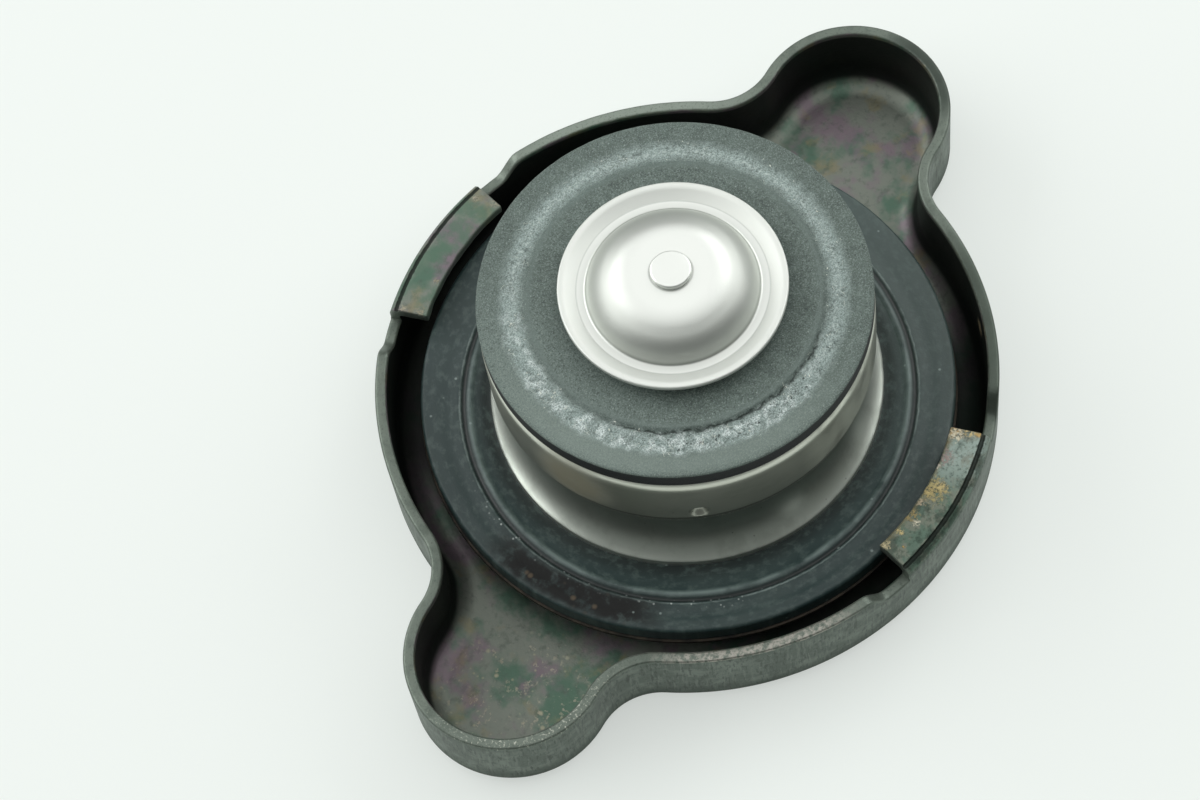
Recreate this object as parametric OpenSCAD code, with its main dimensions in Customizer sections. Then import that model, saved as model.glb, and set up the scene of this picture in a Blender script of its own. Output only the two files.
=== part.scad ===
// Bayonet radiator cap, lying on its outer face with the valve upwards.
// The origin is the centre of the outer face. +Z runs along the axis to the valve,
// the ears lie on X and the bayonet tangs on Y. Lengths are in millimetres.

/* [Shell] */
// Outside radius of the round body
shell_r = 28.5; // [28:0.1:30]
// How far the centre of an ear's end arc lies beyond the skirt
ear_out = 2.8; // [1:0.1:5]
// Outside radius of an ear's end arc
ear_r = 9.2; // [8:0.1:11]
// Radius of the hollow where an ear leaves the body
neck_r = 5.8; // [4:0.1:8]
// Height of the skirt above the outer face
shell_h = 9.0; // [8.6:0.1:10.5]
// Thickness of the shell's sheet
sheet = 1.05; // [0.8:0.05:1.2]
// Outside radius of the bend between face and skirt
bend_r = 3.6; // [2.4:0.1:4]

/* [Tangs] */
// Angle that a bayonet tang takes up about the axis
tang_turn = 31; // [22:0.5:36]
// Length of a tang from the skirt's outside to its inner edge
tang_len = 3.8; // [3:0.05:4.4]
// Outside radius of a tang's fold
tang_bend = 1.3; // [1.1:0.05:1.8]
// Width of the relief cut in the skirt at a tang
relief_w = 24.4; // [20:0.2:27]
// Depth of that relief below the rim
relief_d = 1.9; // [1:0.1:2.5]
// Length of the ramp at each end of the relief
relief_ramp = 1.4; // [0.6:0.1:2.4]
// Radius of the scored line along a tang's fold
score_r = 0.25; // [0.15:0.05:0.35]

/* [Rivet] */
// Depth of the well that takes the rivet's head
well_depth = 1.25; // [1.1:0.05:1.6]
// Radius of the well's floor
well_r = 6.2; // [5.6:0.1:7]
// How much wider the well's mouth is than its floor
well_flare = 1.4; // [0.8:0.1:2]
// Radius of the rivet's shank
rivet_r = 2.0; // [1.5:0.1:2.5]
// Radius of the rivet's factory head
rivet_head_r = 4.6; // [3.6:0.1:5.2]
// Thickness of that head
rivet_head_t = 0.9; // [0.6:0.05:1]
// Radius of the rivet's clenched head
clench_r = 3.6; // [2.8:0.1:4.4]
// Height of the clenched head
clench_t = 1.0; // [0.6:0.1:1.4]

/* [Neck gasket] */
// How far the spring disc stands out past the gasket
disc_out = 0.2; // [0:0.05:0.5]
// Thickness of the spring disc
disc_t = 0.4; // [0.3:0.05:0.6]
// Height of the disc's rim above its middle
disc_rise = 1.85; // [1.4:0.05:2.2]
// Room between the gasket and the inside of the skirt
gasket_room = 2.85; // [2.4:0.05:3.4]
// Gasket thickness under the bell's flange
gasket_t = 1.55; // [1.2:0.05:1.8]
// Height of the gasket's outer land above that
land_rise = 0.4; // [0.2:0.05:0.6]
// Place of the ring that the neck has pressed in, as a share of the way from bell to edge
ridge_share = 0.32; // [0.25:0.01:0.6]
// Half width and height of that ridge
ridge_w = 0.3; // [0.2:0.05:0.4]

/* [Bell] */
// Room between the bell's wall and the inside of the valve cup
bell_room = 1.1; // [1:0.05:1.5]
// Radius of the flare between the bell's wall and its foot
flare_r = 6; // [4:0.25:9]
// How far the flare leads out from the wall
flare_w = 2.45; // [2:0.05:2.6]
// Sheet thickness of the bell and of the spring seat
bell_t = 0.7; // [0.5:0.05:0.8]
// Height of the bell from its foot to its lip
bell_h = 12.05; // [11:0.05:13]
// How far the lip stands out from the bell's wall
lip_out = 0.7; // [0.6:0.05:0.8]
// Height of the spring seat's wall
seat_h = 9.6; // [8:0.1:11]

/* [Pressure valve] */
// Outside radius of the valve cup
cup_r = 17.5; // [17.4:0.05:17.9]
// Sheet thickness of the valve cup
cup_t = 0.8; // [0.6:0.05:0.85]
// Height of the valve cup
cup_h = 7.8; // [7.4:0.1:8.6]
// Outside radius of the cup's rounded edge
cup_bend = 1.2; // [0.9:0.1:1.6]
// Length of the cup's crimped lower edge
crimp_h = 1.2; // [0.6:0.1:1.4]
// How far the crimp turns in
crimp_in = 0.3; // [0.1:0.05:0.35]
// Opening travel of the pressure valve
valve_travel = 3.0; // [2:0.1:3.4]
// Radius of a retaining dimple
dimple_r = 0.95; // [0.7:0.05:1.1]
// Turn of the first dimple about the axis
dimple_turn = -144; // [-180:1:180]
// How far the rubber seal's edge lies inside the cup's
seal_set = 0.05; // [0:0.01:0.3]
// Thickness of the seal at its edge
seal_t = 1.8; // [1.4:0.1:2.2]
// Rise of the seal's face from its edge to the vacuum valve
seal_crown = 0.4; // [0.2:0.05:0.6]
// Width of the seal outside the ring that the valve seat has worn
wear_edge = 2.05; // [1.6:0.05:2.6]
// Width of the worn ring
wear_w = 2.4; // [1.8:0.1:2.8]
// Depth of the worn ring
wear_d = 0.12; // [0.05:0.01:0.2]

/* [Vacuum valve] */
// Outside radius of the vacuum valve's flange
vac_r = 10.1; // [9.8:0.05:11]
// Sheet thickness of the vacuum valve
vac_t = 0.5; // [0.4:0.05:0.6]
// Width of the flange outside the dome
flange_w = 2.4; // [2.1:0.05:2.8]
// Width of the flat ring at the dome's foot
ring_w = 0.8; // [0.6:0.05:1]
// Height of the flange's edge above that ring
flange_rise = 0.6; // [0.3:0.05:0.8]
// Length of the slope between ring and flange
flange_slope = 0.55; // [0.4:0.05:0.7]
// Height of the dome above the ring
dome_h = 2.85; // [2.6:0.05:3.2]
// Radius of the dome's rounded shoulder
dome_bend = 2.4; // [1.8:0.1:2.6]
// Lean of the dome's wall from upright, in degrees
dome_lean = 26.5; // [15:0.5:35]
// Height of the seal's inner lip under the ring
lip_h = 0.65; // [0.5:0.05:0.9]
// Radius of the stem
stem_r = 1.25; // [1:0.05:1.5]
// Radius of the stem's head
stem_head_r = 1.8; // [1.6:0.05:2.4]
// Height of the stem's head
stem_head_h = 0.5; // [0.3:0.05:0.8]
// Radius of the stem guide's barrel
guide_r = 4.85; // [4.4:0.05:5.2]
// Radius of a flow hole in the guide
flow_r = 0.85; // [0.5:0.05:0.9]
// Radius of the spring keeper
keeper_r = 4.0; // [3.4:0.1:4.6]
// Opening travel of the vacuum valve
vac_travel = 2.0; // [1:0.1:2.4]

/* [Springs] */
// Wire diameter of the pressure spring
main_wire = 2.0; // [1.6:0.1:2.2]
// Turns of the pressure spring
main_turns = 5; // [4:0.5:6]
// Wire diameter of the vacuum spring
vac_wire = 0.5; // [0.4:0.05:0.6]
// Turns of the vacuum spring
vac_turns = 6; // [5:0.5:7]
// Length that the vacuum spring keeps in hand when its valve is fully open
spring_spare = 1.0; // [0.6:0.1:1.6]

/* [Hidden] */
$fn = 96;

// Running play of a shaft in its hole, on the radius
running = 0.06;
// Play of a piece that is clamped or staked round another
close = 0.05;
// Gap between flat faces that turn or lift against each other
face_gap = 0.05;
// Room left at the end of a stroke
stop_gap = 0.2;
// Overlap of cutters and joined stock
lap = 0.5;

// Places that follow from the shell
ear_x = shell_r + ear_out;
tang_in = shell_r - tang_len;
gasket_r = shell_r - sheet - gasket_room;
disc_r = gasket_r + disc_out;
// Turn of a tang's scored line from the top of the fold
score_turn = 25;

// Centre of the hollow neck arc, touching both the body and the ear
neck_a = shell_r + neck_r;
neck_b = ear_r + neck_r;
neck_x = (neck_a * neck_a - neck_b * neck_b + ear_x * ear_x) / (2 * ear_x);
neck_y = sqrt(neck_a * neck_a - neck_x * neck_x);
// How far the hollow bites into those circles, so that the walls cross cleanly
neck_bite = 0.06;

// Heights of the stack on the rivet
well_top = well_depth + sheet;
disc_z = well_top + face_gap;
seat_z = disc_z + disc_t;
seat_top = seat_z + bell_t;
rim_z = disc_z + disc_rise + disc_t;
foot_z = rim_z + gasket_t;
lip_z = foot_z + bell_h;

// Valve cup, held by its dimples under the bell's lip
cup_in = cup_r - cup_t;
cup_under = lip_z + valve_travel + stop_gap;
cup_top = cup_under + cup_t;
cup_foot = cup_top - cup_h;
bell_r = cup_in - bell_room;
lip_r = bell_r + lip_out;
foot_r = bell_r + flare_w;
ridge_r = foot_r + ridge_share * (gasket_r - foot_r);
dimple_z = lip_z - bell_t - 2 * face_gap - dimple_r;
dimple_in = (bell_r + lip_r) / 2;
// Depth in the cup's wall at which a dimple starts
dimple_root = 0.24;
// Radius of a dimple's inner end
dimple_end = 0.57;
// Radius and depth of the punch's mark on the outside
punch_r = 0.66;
punch_d = 0.56;

// Spring seat, inside the bell's wall
seat_r = bell_r - bell_t - close;
// Inside radius of the seat's bend
seat_bend_in = 0.5;
seat_bend = bell_t + seat_bend_in;
// Room between the seat and the step of the spring disc
step_room = 0.45;
disc_step = seat_r + step_room;
// Length of the disc's sloping step
disc_slope = 1.3;
// Room between the pressure spring and the seat's wall
spring_room = 0.5;
main_spring_r = seat_r - bell_t - spring_room - main_wire / 2;
// Gap at each end of a spring
spring_gap = 0.02;

// Seal and what sits in its middle
seal_r = cup_r - seal_set;
seal_edge = cup_top + seal_t;
seal_mid = seal_edge + seal_crown;
wear_out = seal_r - wear_edge;
wear_in = wear_out - wear_w;
// Length of the slope at each side of the worn ring
wear_slope = 0.48;
vac_under = seal_mid + lip_h + face_gap;
ring_z = vac_under + vac_t;
vac_top = ring_z + flange_rise;
dome_r = vac_r - flange_w;
dome_top = ring_z + dome_h;
// Room between the seal's lip and each edge of the ring
lip_play = 0.1;
seal_lip_in = dome_r + lip_play;
seal_lip_out = dome_r + ring_w - lip_play;

// Stem guide, spring keeper and vacuum spring
guide_room = 1.0;
guide_flange_r = dome_r - guide_room;
guide_flange_t = 0.5;
guide_wall = 0.65;
stake_w = 0.9;
stake_r = guide_r + stake_w;
stake_t = 0.6;
web_t = 1.2;
flow_at = (guide_r - guide_wall + stem_r) / 2;
guide_low = cup_under - stake_t;
keeper_t = 0.6;
vac_spring_h = vac_turns * vac_wire + vac_travel + spring_spare;
keeper_z = guide_low - vac_spring_h - keeper_t;
vac_spring_r = (stem_r + keeper_r) / 2;

// A quarter ring of bent sheet in section; turn picks the quadrant
module bend(centre, inner, thick, turn) {
    translate(centre) rotate(turn) intersection() {
        difference() {
            circle(inner + thick);
            circle(inner);
        }
        square(inner + thick);
    }
}

// Half section of a round pan with its lower edge rounded
module pan_section(r, bend, base, top) {
    square_h = top - base;
    translate([0, base]) {
        square([r - bend, square_h]);
        translate([0, bend]) square([r, square_h - bend]);
        translate([r - bend, bend]) rotate(-90) intersection() {
            circle(bend);
            square(bend);
        }
    }
}

// Section of the cutter that hollows a neck and rounds its lower edge
module cove_section(r, bend, base, top) {
    translate([0, base - lap]) square([r, top - base + 2 * lap]);
    translate([r, base]) difference() {
        translate([0, -lap]) square([bend, bend + lap]);
        translate([bend, bend]) circle(bend);
    }
}

// The stock between the body and one ear, hollowed a trace past the touching circles
module neck(inset, top) {
    difference() {
        translate([0, 0, inset]) linear_extrude(top - inset)
            polygon([[0, 0], [neck_x, -neck_y], [ear_x, 0], [neck_x, neck_y]]);
        for (side = [-1, 1])
            translate([neck_x, side * neck_y]) rotate_extrude()
                cove_section(neck_r + inset + neck_bite, bend_r - inset, inset, top);
    }
}

// The pressed pan as a solid, drawn in from its outside by a wall thickness
module pan(inset, top) {
    rotate_extrude() pan_section(shell_r - inset, bend_r - inset, inset, top);
    for (side = [0, 180])
        rotate(side) {
            translate([ear_x, 0]) rotate_extrude() pan_section(ear_r - inset, bend_r - inset, inset, top);
            neck(inset, top);
        }
}

// Sector that one tang takes up
module tang_sector() {
    reach = 2 * shell_r;
    half = reach * tan(tang_turn / 2);
    linear_extrude(shell_h + 2 * lap) polygon([[0, 0], [half, reach], [-half, reach]]);
}

// Cutter that lowers the skirt at both sides of one tang
module relief() {
    low = shell_h - relief_d;
    half = relief_w / 2;
    difference() {
        translate([0, shell_r + lap]) rotate([90, 0, 0]) linear_extrude(shell_r - tang_in + lap)
            polygon([[-half, shell_h], [-half + relief_ramp, low], [half - relief_ramp, low],
                [half, shell_h], [half, shell_h + lap], [-half, shell_h + lap]]);
        tang_sector();
    }
}

// The flat of one tang, folded in from the skirt
module tang() {
    intersection() {
        rotate_extrude() translate([tang_in, shell_h - sheet]) square([tang_len - sheet / 2, sheet]);
        tang_sector();
    }
}

// Cutter that rounds and scores the fold of one tang
module fold() {
    centre = [shell_r - tang_bend, shell_h - tang_bend];
    intersection() {
        rotate_extrude() {
            difference() {
                translate(centre) square(tang_bend + lap);
                translate(centre) circle(tang_bend);
            }
            translate(centre + tang_bend * [sin(score_turn), cos(score_turn)]) circle(score_r, $fn = 24);
        }
        tang_sector();
    }
}

module cap_shell() {
    slope = well_flare / well_depth;
    wall_shift = sheet * (sqrt(1 + slope * slope) - slope);
    inner_r = well_r + wall_shift;
    color("#3a3f38") difference() {
        union() {
            difference() {
                pan(0, shell_h);
                pan(sheet, shell_h + lap);
                for (side = [0, 180]) rotate(side) relief();
            }
            for (side = [0, 180]) rotate(side) tang();
            translate([0, 0, sheet]) cylinder(r1 = inner_r + well_flare, r2 = inner_r, h = well_depth);
        }
        for (side = [0, 180]) rotate(side) fold();
        cylinder(r1 = well_r + well_flare, r2 = well_r, h = well_depth);
        cylinder(r = rivet_r + running, h = 2 * well_top, center = true);
    }
}

module centre_rivet() {
    head_top = well_depth - face_gap;
    color("#8d8f8a") {
        cylinder(r = rivet_r, h = seat_top);
        translate([0, 0, head_top - rivet_head_t]) cylinder(r = rivet_head_r, h = rivet_head_t);
        translate([0, 0, seat_top]) cylinder(r1 = clench_r, r2 = rivet_r, h = clench_t);
    }
}

module seal_spring_disc() {
    bore = rivet_r + close;
    lean = disc_t / 2;
    color("#8a8578") rotate_extrude()
        polygon([[bore, disc_z], [disc_step, disc_z], [disc_step + disc_slope, disc_z + disc_rise],
            [disc_r, disc_z + disc_rise], [disc_r, rim_z], [disc_step + disc_slope - lean, rim_z],
            [disc_step - lean, disc_z + disc_t], [bore, disc_z + disc_t]]);
}

module neck_gasket() {
    bore = disc_step + close;
    land_z = foot_z + land_rise;
    edge = 0.4;
    sunk = ridge_w / 3;
    groove_r = ridge_r + 2 * ridge_w;
    color("#26292b") rotate_extrude() difference() {
        union() {
            polygon([[bore, rim_z], [gasket_r, rim_z], [gasket_r, land_z - edge], [gasket_r - edge, land_z],
                [ridge_r - ridge_w, land_z], [foot_r + 2 * close, foot_z], [bore, foot_z]]);
            translate([gasket_r - edge, land_z - edge]) circle(edge);
            translate([ridge_r, land_z - sunk]) circle(ridge_w);
        }
        translate([groove_r, land_z]) circle(ridge_w);
    }
}

module spring_seat() {
    color("#a7a79d") rotate_extrude() {
        translate([rivet_r + close, seat_z]) square([seat_r - seat_bend - rivet_r - close, bell_t]);
        bend([seat_r - seat_bend, seat_z + seat_bend], seat_bend - bell_t, bell_t, -90);
        translate([seat_r - bell_t, seat_z + seat_bend]) square([bell_t, seat_h - seat_bend]);
    }
}

module spring_bell() {
    inner_bend = 0.4;
    under = lip_z - bell_t;
    // Height of the flare over the foot's edge, which is cut as high as the sheet is thick
    drop = bell_t + sqrt(pow(flare_r, 2) - pow(flare_r - flare_w, 2));
    flare_z = foot_z + drop;
    color("#c9cbc2") rotate_extrude() {
        intersection() {
            difference() {
                translate([bell_r + flare_r, flare_z]) circle(flare_r + bell_t);
                translate([bell_r + flare_r, flare_z]) circle(flare_r);
            }
            translate([bell_r - bell_t, foot_z]) square([foot_r - bell_r + bell_t, drop]);
        }
        translate([bell_r - bell_t, flare_z]) square([bell_t, under - inner_bend - flare_z]);
        bend([bell_r + inner_bend, under - inner_bend], inner_bend, bell_t, 90);
        translate([bell_r + inner_bend, under]) square([lip_r - bell_r - inner_bend, bell_t]);
    }
}

module valve_cup() {
    edge_r = cup_r - cup_bend;
    crimp_z = cup_foot + crimp_h;
    bore = guide_r + close;
    color("#8b8a80") {
        difference() {
            rotate_extrude() {
                translate([bore, cup_under]) square([edge_r - bore, cup_t]);
                bend([edge_r, cup_top - cup_bend], cup_bend - cup_t, cup_t, 0);
                translate([cup_in, crimp_z]) square([cup_t, cup_top - cup_bend - crimp_z]);
                polygon([[cup_in, crimp_z], [cup_in - crimp_in, cup_foot], [cup_r - crimp_in, cup_foot],
                    [cup_r, crimp_z]]);
            }
            for (turn = [0, 120, 240])
                rotate(dimple_turn + turn) translate([cup_r + lap, 0, dimple_z]) rotate([0, -90, 0])
                    cylinder(r = punch_r, h = lap + punch_d, $fn = 32);
        }
        for (turn = [0, 120, 240])
            rotate(dimple_turn + turn) translate([cup_in + dimple_root, 0, dimple_z]) rotate([0, -90, 0])
                cylinder(r1 = dimple_r, r2 = dimple_end, h = cup_in + dimple_root - dimple_in, $fn = 32);
    }
}

module pressure_seal() {
    bore = guide_r + close;
    edge = 0.2;
    color("#3d4443") rotate_extrude() {
        polygon([[bore, cup_top], [seal_r, cup_top], [seal_r, seal_edge - edge], [seal_r - edge, seal_edge],
            [wear_out, seal_edge + wear_d], [wear_out - wear_slope, seal_edge - wear_d / 2],
            [wear_in + wear_slope, seal_edge + wear_d / 2], [wear_in, seal_mid - wear_d],
            [seal_lip_out + edge, seal_mid], [seal_lip_out, seal_mid + lip_h],
            [seal_lip_in, seal_mid + lip_h], [seal_lip_in, seal_mid], [bore, seal_mid]]);
    }
}

module stem_guide() {
    color("#9c9c94") difference() {
        union() {
            translate([0, 0, guide_low]) cylinder(r = guide_r, h = seal_mid - guide_low);
            translate([0, 0, guide_low]) cylinder(r = stake_r, h = stake_t);
            translate([0, 0, seal_mid]) cylinder(r = guide_flange_r, h = guide_flange_t);
        }
        translate([0, 0, guide_low + web_t])
            cylinder(r = guide_r - guide_wall, h = seal_mid + guide_flange_t - guide_low);
        translate([0, 0, guide_low - lap]) cylinder(r = stem_r + running, h = web_t + 2 * lap);
        for (turn = [0, 90, 180, 270])
            rotate(turn) translate([flow_at, 0, guide_low - lap]) cylinder(r = flow_r, h = web_t + 2 * lap);
    }
}

// The vacuum valve's leaning wall: its outward and downward directions
wall_out = [cos(dome_lean), sin(dome_lean)];
wall_down = [sin(dome_lean), -cos(dome_lean)];
wall_h = dome_h - dome_bend + dome_bend * wall_out[1];
shoulder = [dome_r - dome_bend * wall_out[0] - wall_h * tan(dome_lean), dome_top - dome_bend];

// Half section of the dome's body down to a level, one skin inside its outer face
module dome(skin, low) {
    // Top and wall cut this far into the round, so that they cross it at a definite angle
    bite = 0.004;
    bend_r = dome_bend - skin;
    wall = shoulder + (bend_r - bite) * wall_out;
    top = shoulder[1] + bend_r - bite;
    foot = wall + (wall[1] - low) / cos(dome_lean) * wall_down;
    polygon([[0, low], foot, wall, [shoulder[0], top], [0, top]]);
    translate(shoulder) intersection() {
        circle(bend_r);
        square(bend_r);
    }
}

module vacuum_valve() {
    slope_r = dome_r + ring_w + flange_slope;
    color("#d6d8d2") rotate_extrude() difference() {
        union() {
            dome(0, ring_z - vac_t / 2);
            polygon([[0, vac_under], [dome_r + ring_w, vac_under], [slope_r, vac_top - vac_t],
                [vac_r - vac_t / 2, vac_top - vac_t], [vac_r - vac_t / 2, vac_top], [slope_r, vac_top],
                [dome_r + ring_w, ring_z], [0, ring_z]]);
            translate([vac_r - vac_t / 2, vac_top - vac_t / 2]) circle(vac_t / 2);
        }
        dome(vac_t, vac_under - lap);
        translate([0, vac_under]) square([stem_r + close, 2 * dome_h]);
    }
}

module vacuum_stem() {
    edge = 0.2;
    color("#d2d4ce") rotate_extrude() {
        translate([0, keeper_z]) square([stem_r, dome_top - keeper_z]);
        translate([0, keeper_z - stem_head_h]) square([stem_head_r, stem_head_h]);
        polygon([[0, dome_top], [stem_head_r, dome_top], [stem_head_r, dome_top + stem_head_h - edge],
            [stem_head_r - edge, dome_top + stem_head_h], [0, dome_top + stem_head_h]]);
    }
}

module spring_keeper() {
    color("#9c9c94") translate([0, 0, keeper_z]) difference() {
        cylinder(r = keeper_r, h = keeper_t);
        translate([0, 0, -lap]) cylinder(r = stem_r + close, h = keeper_t + 2 * lap);
    }
}

// Height of a coil's wire after u turns: closed end turns, even pitch between
function coil_z(u, turns, low, high, wire) =
    u < 1 ? low + wire * u
    : u > turns - 1 ? high - wire * (turns - u)
    : low + wire + (high - low - 2 * wire) * (u - 1) / (turns - 2);

// A round wire wound as a helix between two heights
module coil(r, wire, turns, z0, z1, steps, sides) {
    low = z0 + wire / 2;
    high = z1 - wire / 2;
    rings = floor(turns * steps);
    points = [for (i = [0:rings], j = [0:sides - 1])
        let (a = 360 * i / steps, b = 360 * j / sides, q = r + wire / 2 * cos(b))
        [q * cos(a), q * sin(a), coil_z(i / steps, turns, low, high, wire) + wire / 2 * sin(b)]];
    skin = [for (i = [0:rings - 1], j = [0:sides - 1])
        let (k = (j + 1) % sides, p = i * sides, n = p + sides)
        each [[p + j, n + j, n + k], [p + j, n + k, p + k]]];
    start = [for (j = [1:sides - 2]) [0, j, j + 1]];
    end = [for (j = [1:sides - 2]) [rings * sides, rings * sides + j + 1, rings * sides + j]];
    polyhedron(points, concat(skin, start, end));
}

module pressure_spring() {
    color("#6f7270") coil(main_spring_r, main_wire, main_turns, seat_top + spring_gap,
        cup_under - spring_gap, 20, 8);
}

module vacuum_spring() {
    color("#8f928f") coil(vac_spring_r, vac_wire, vac_turns, keeper_z + keeper_t + spring_gap,
        guide_low - spring_gap, 14, 6);
}

cap_shell();
centre_rivet();
seal_spring_disc();
neck_gasket();
spring_seat();
spring_bell();
pressure_spring();
valve_cup();
pressure_seal();
stem_guide();
vacuum_valve();
vacuum_stem();
vacuum_spring();
spring_keeper();
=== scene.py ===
"""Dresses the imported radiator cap: finer meshes, finishes, studio light and camera.

Lengths are millimetres in the cap's own frame (the origin is the centre of the outer
face, +Z runs along the axis to the valve, the ears lie on X and the tangs on Y) until
a mesh is made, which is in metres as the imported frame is.
"""

from __future__ import annotations

import logging
import math
from collections.abc import Callable, Sequence
from dataclasses import dataclass, field
from enum import Enum
from functools import partial

import bmesh
import bpy
from mathutils import Matrix, Vector, noise

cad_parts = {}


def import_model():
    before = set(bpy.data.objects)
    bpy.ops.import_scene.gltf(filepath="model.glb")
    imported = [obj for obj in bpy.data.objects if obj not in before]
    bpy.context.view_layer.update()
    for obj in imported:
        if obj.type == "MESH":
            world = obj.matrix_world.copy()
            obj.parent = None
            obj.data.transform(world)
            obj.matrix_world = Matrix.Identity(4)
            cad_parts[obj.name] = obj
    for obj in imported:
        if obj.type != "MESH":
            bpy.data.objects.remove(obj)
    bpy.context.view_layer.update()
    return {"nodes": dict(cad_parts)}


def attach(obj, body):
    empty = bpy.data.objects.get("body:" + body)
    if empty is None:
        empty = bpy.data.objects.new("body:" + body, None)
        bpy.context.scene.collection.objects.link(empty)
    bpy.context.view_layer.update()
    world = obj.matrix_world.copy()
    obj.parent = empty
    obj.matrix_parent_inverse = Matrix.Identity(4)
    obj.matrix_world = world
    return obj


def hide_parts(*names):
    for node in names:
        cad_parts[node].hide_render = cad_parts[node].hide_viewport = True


MM = 0.001
LOG = logging.getLogger("radiator_cap")

# Octaves and falloff of the fractal noise that the finishes are drawn from
GRAIN_DETAIL = 4.0
GRAIN_FALLOFF = 0.6
# Angle in degrees past which an edge stays sharp
SHARP_EDGE = 40.0
# Radius in mm under which a point of a section lies on the axis
AXIS_R = 1e-6
# Share of an edge that the fillet at one of its ends may take
FILLET_SHARE = 0.499

Flat = tuple[float, float]
Solid = tuple[float, float, float]
Warp = Callable[[float, float, float], Solid]


class Body(Enum):
    """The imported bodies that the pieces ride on."""

    SHELL = "shell"
    CORE = "core"
    PRESSURE = "pressure_valve"
    VACUUM = "vacuum_valve"


class Pattern(Enum):
    """Ways of saying where on a surface a layer of a finish lies."""

    CLOUD = "soft blotches"
    SPECK = "separate grains"
    SPUN = "fine lines about the axis"
    RING = "a band about an upright axis"
    HEIGHT = "a band along the axis"
    SPOT = "a patch round a point"
    SECTOR = "an angle about the axis"
    MARK = "the mesh's own attribute"


# How far each axis counts in the distance that a band is measured by
WEIGHTS = {
    Pattern.RING: (1.0, 1.0, 0.0),
    Pattern.HEIGHT: (0.0, 0.0, 1.0),
    Pattern.SPOT: (1.0, 1.0, 1.0),
}


def linear(code: str) -> tuple[float, float, float, float]:
    """Turn an sRGB hex colour into linear light.

    Args:
        code: The colour, as "#rrggbb".

    Returns:
        Red, green, blue and a full alpha.
    """
    parts = [int(code[i : i + 2], 16) / 255 for i in (1, 3, 5)]
    light = [p / 12.92 if p <= 0.04045 else ((p + 0.055) / 1.055) ** 2.4 for p in parts]
    return light[0], light[1], light[2], 1.0


def add(
    tree: bpy.types.NodeTree, kind: str, inputs: dict | None = None, out: int | str = 0, **settings: object,
) -> bpy.types.NodeSocket | None:
    """Add one node with its settings and links.

    Args:
        tree: The node tree.
        kind: The node's type name.
        inputs: Socket name or index to a value, or to an output socket to link.
        out: The output to return.
        settings: The node's own properties.

    Returns:
        One output of the new node, if it has any.
    """
    made = tree.nodes.new(kind)
    for name, value in settings.items():
        setattr(made, name, value)
    for key, value in (inputs or {}).items():
        if isinstance(value, bpy.types.NodeSocket):
            tree.links.new(value, made.inputs[key])
        else:
            made.inputs[key].default_value = value
    return made.outputs[out] if made.outputs else None


def smooth(low: float, high: float, value: float) -> float:
    """Return 0 at low, 1 at high and an even ramp between."""
    t = min(1.0, max(0.0, (value - low) / (high - low)))
    return t * t * (3 - 2 * t)


@dataclass(frozen=True)
class Dents:
    """Seamless unevenness of a surface: its depth and the size of its lumps in mm."""

    depth: float
    size: float
    seed: float = 0.0

    def at(self, r: float, turn: float, z: float) -> float:
        """Return how far a place given about the axis is moved."""
        x, y = r * math.cos(turn) / self.size, r * math.sin(turn) / self.size
        return self.depth * noise.noise(Vector((x, y, z / self.size + self.seed)))


@dataclass(frozen=True)
class Mask:
    """Where a layer lies. The fields that matter depend on the pattern."""

    pattern: Pattern
    size: float = 1.0
    low: float = 0.45
    high: float = 0.6
    start: float = 0.0
    stop: float = 0.0
    soft: float = 0.3
    ragged: float = 0.0
    share: float = 1.0
    at: Solid = (0.0, 0.0, 0.0)
    stretch: Solid = (1.0, 1.0, 1.0)
    mark: str = "rim"


@dataclass(frozen=True)
class Layer:
    """What lies on the base of a finish, where all its masks hold."""

    masks: tuple[Mask, ...]
    colour: str | None = None
    roughness: float | None = None
    metallic: float | None = None
    amount: float = 1.0
    lift: float = 0.0


@dataclass(frozen=True)
class Finish:
    """A real material and how its surface was made."""

    name: str
    colour: str
    roughness: float
    metallic: float = 0.0
    specular: float = 0.5
    layers: tuple[Layer, ...] = ()

    def material(self) -> bpy.types.Material:
        """Return the material, built on its first use."""
        return bpy.data.materials.get(self.name) or Painter(self).paint()


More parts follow.
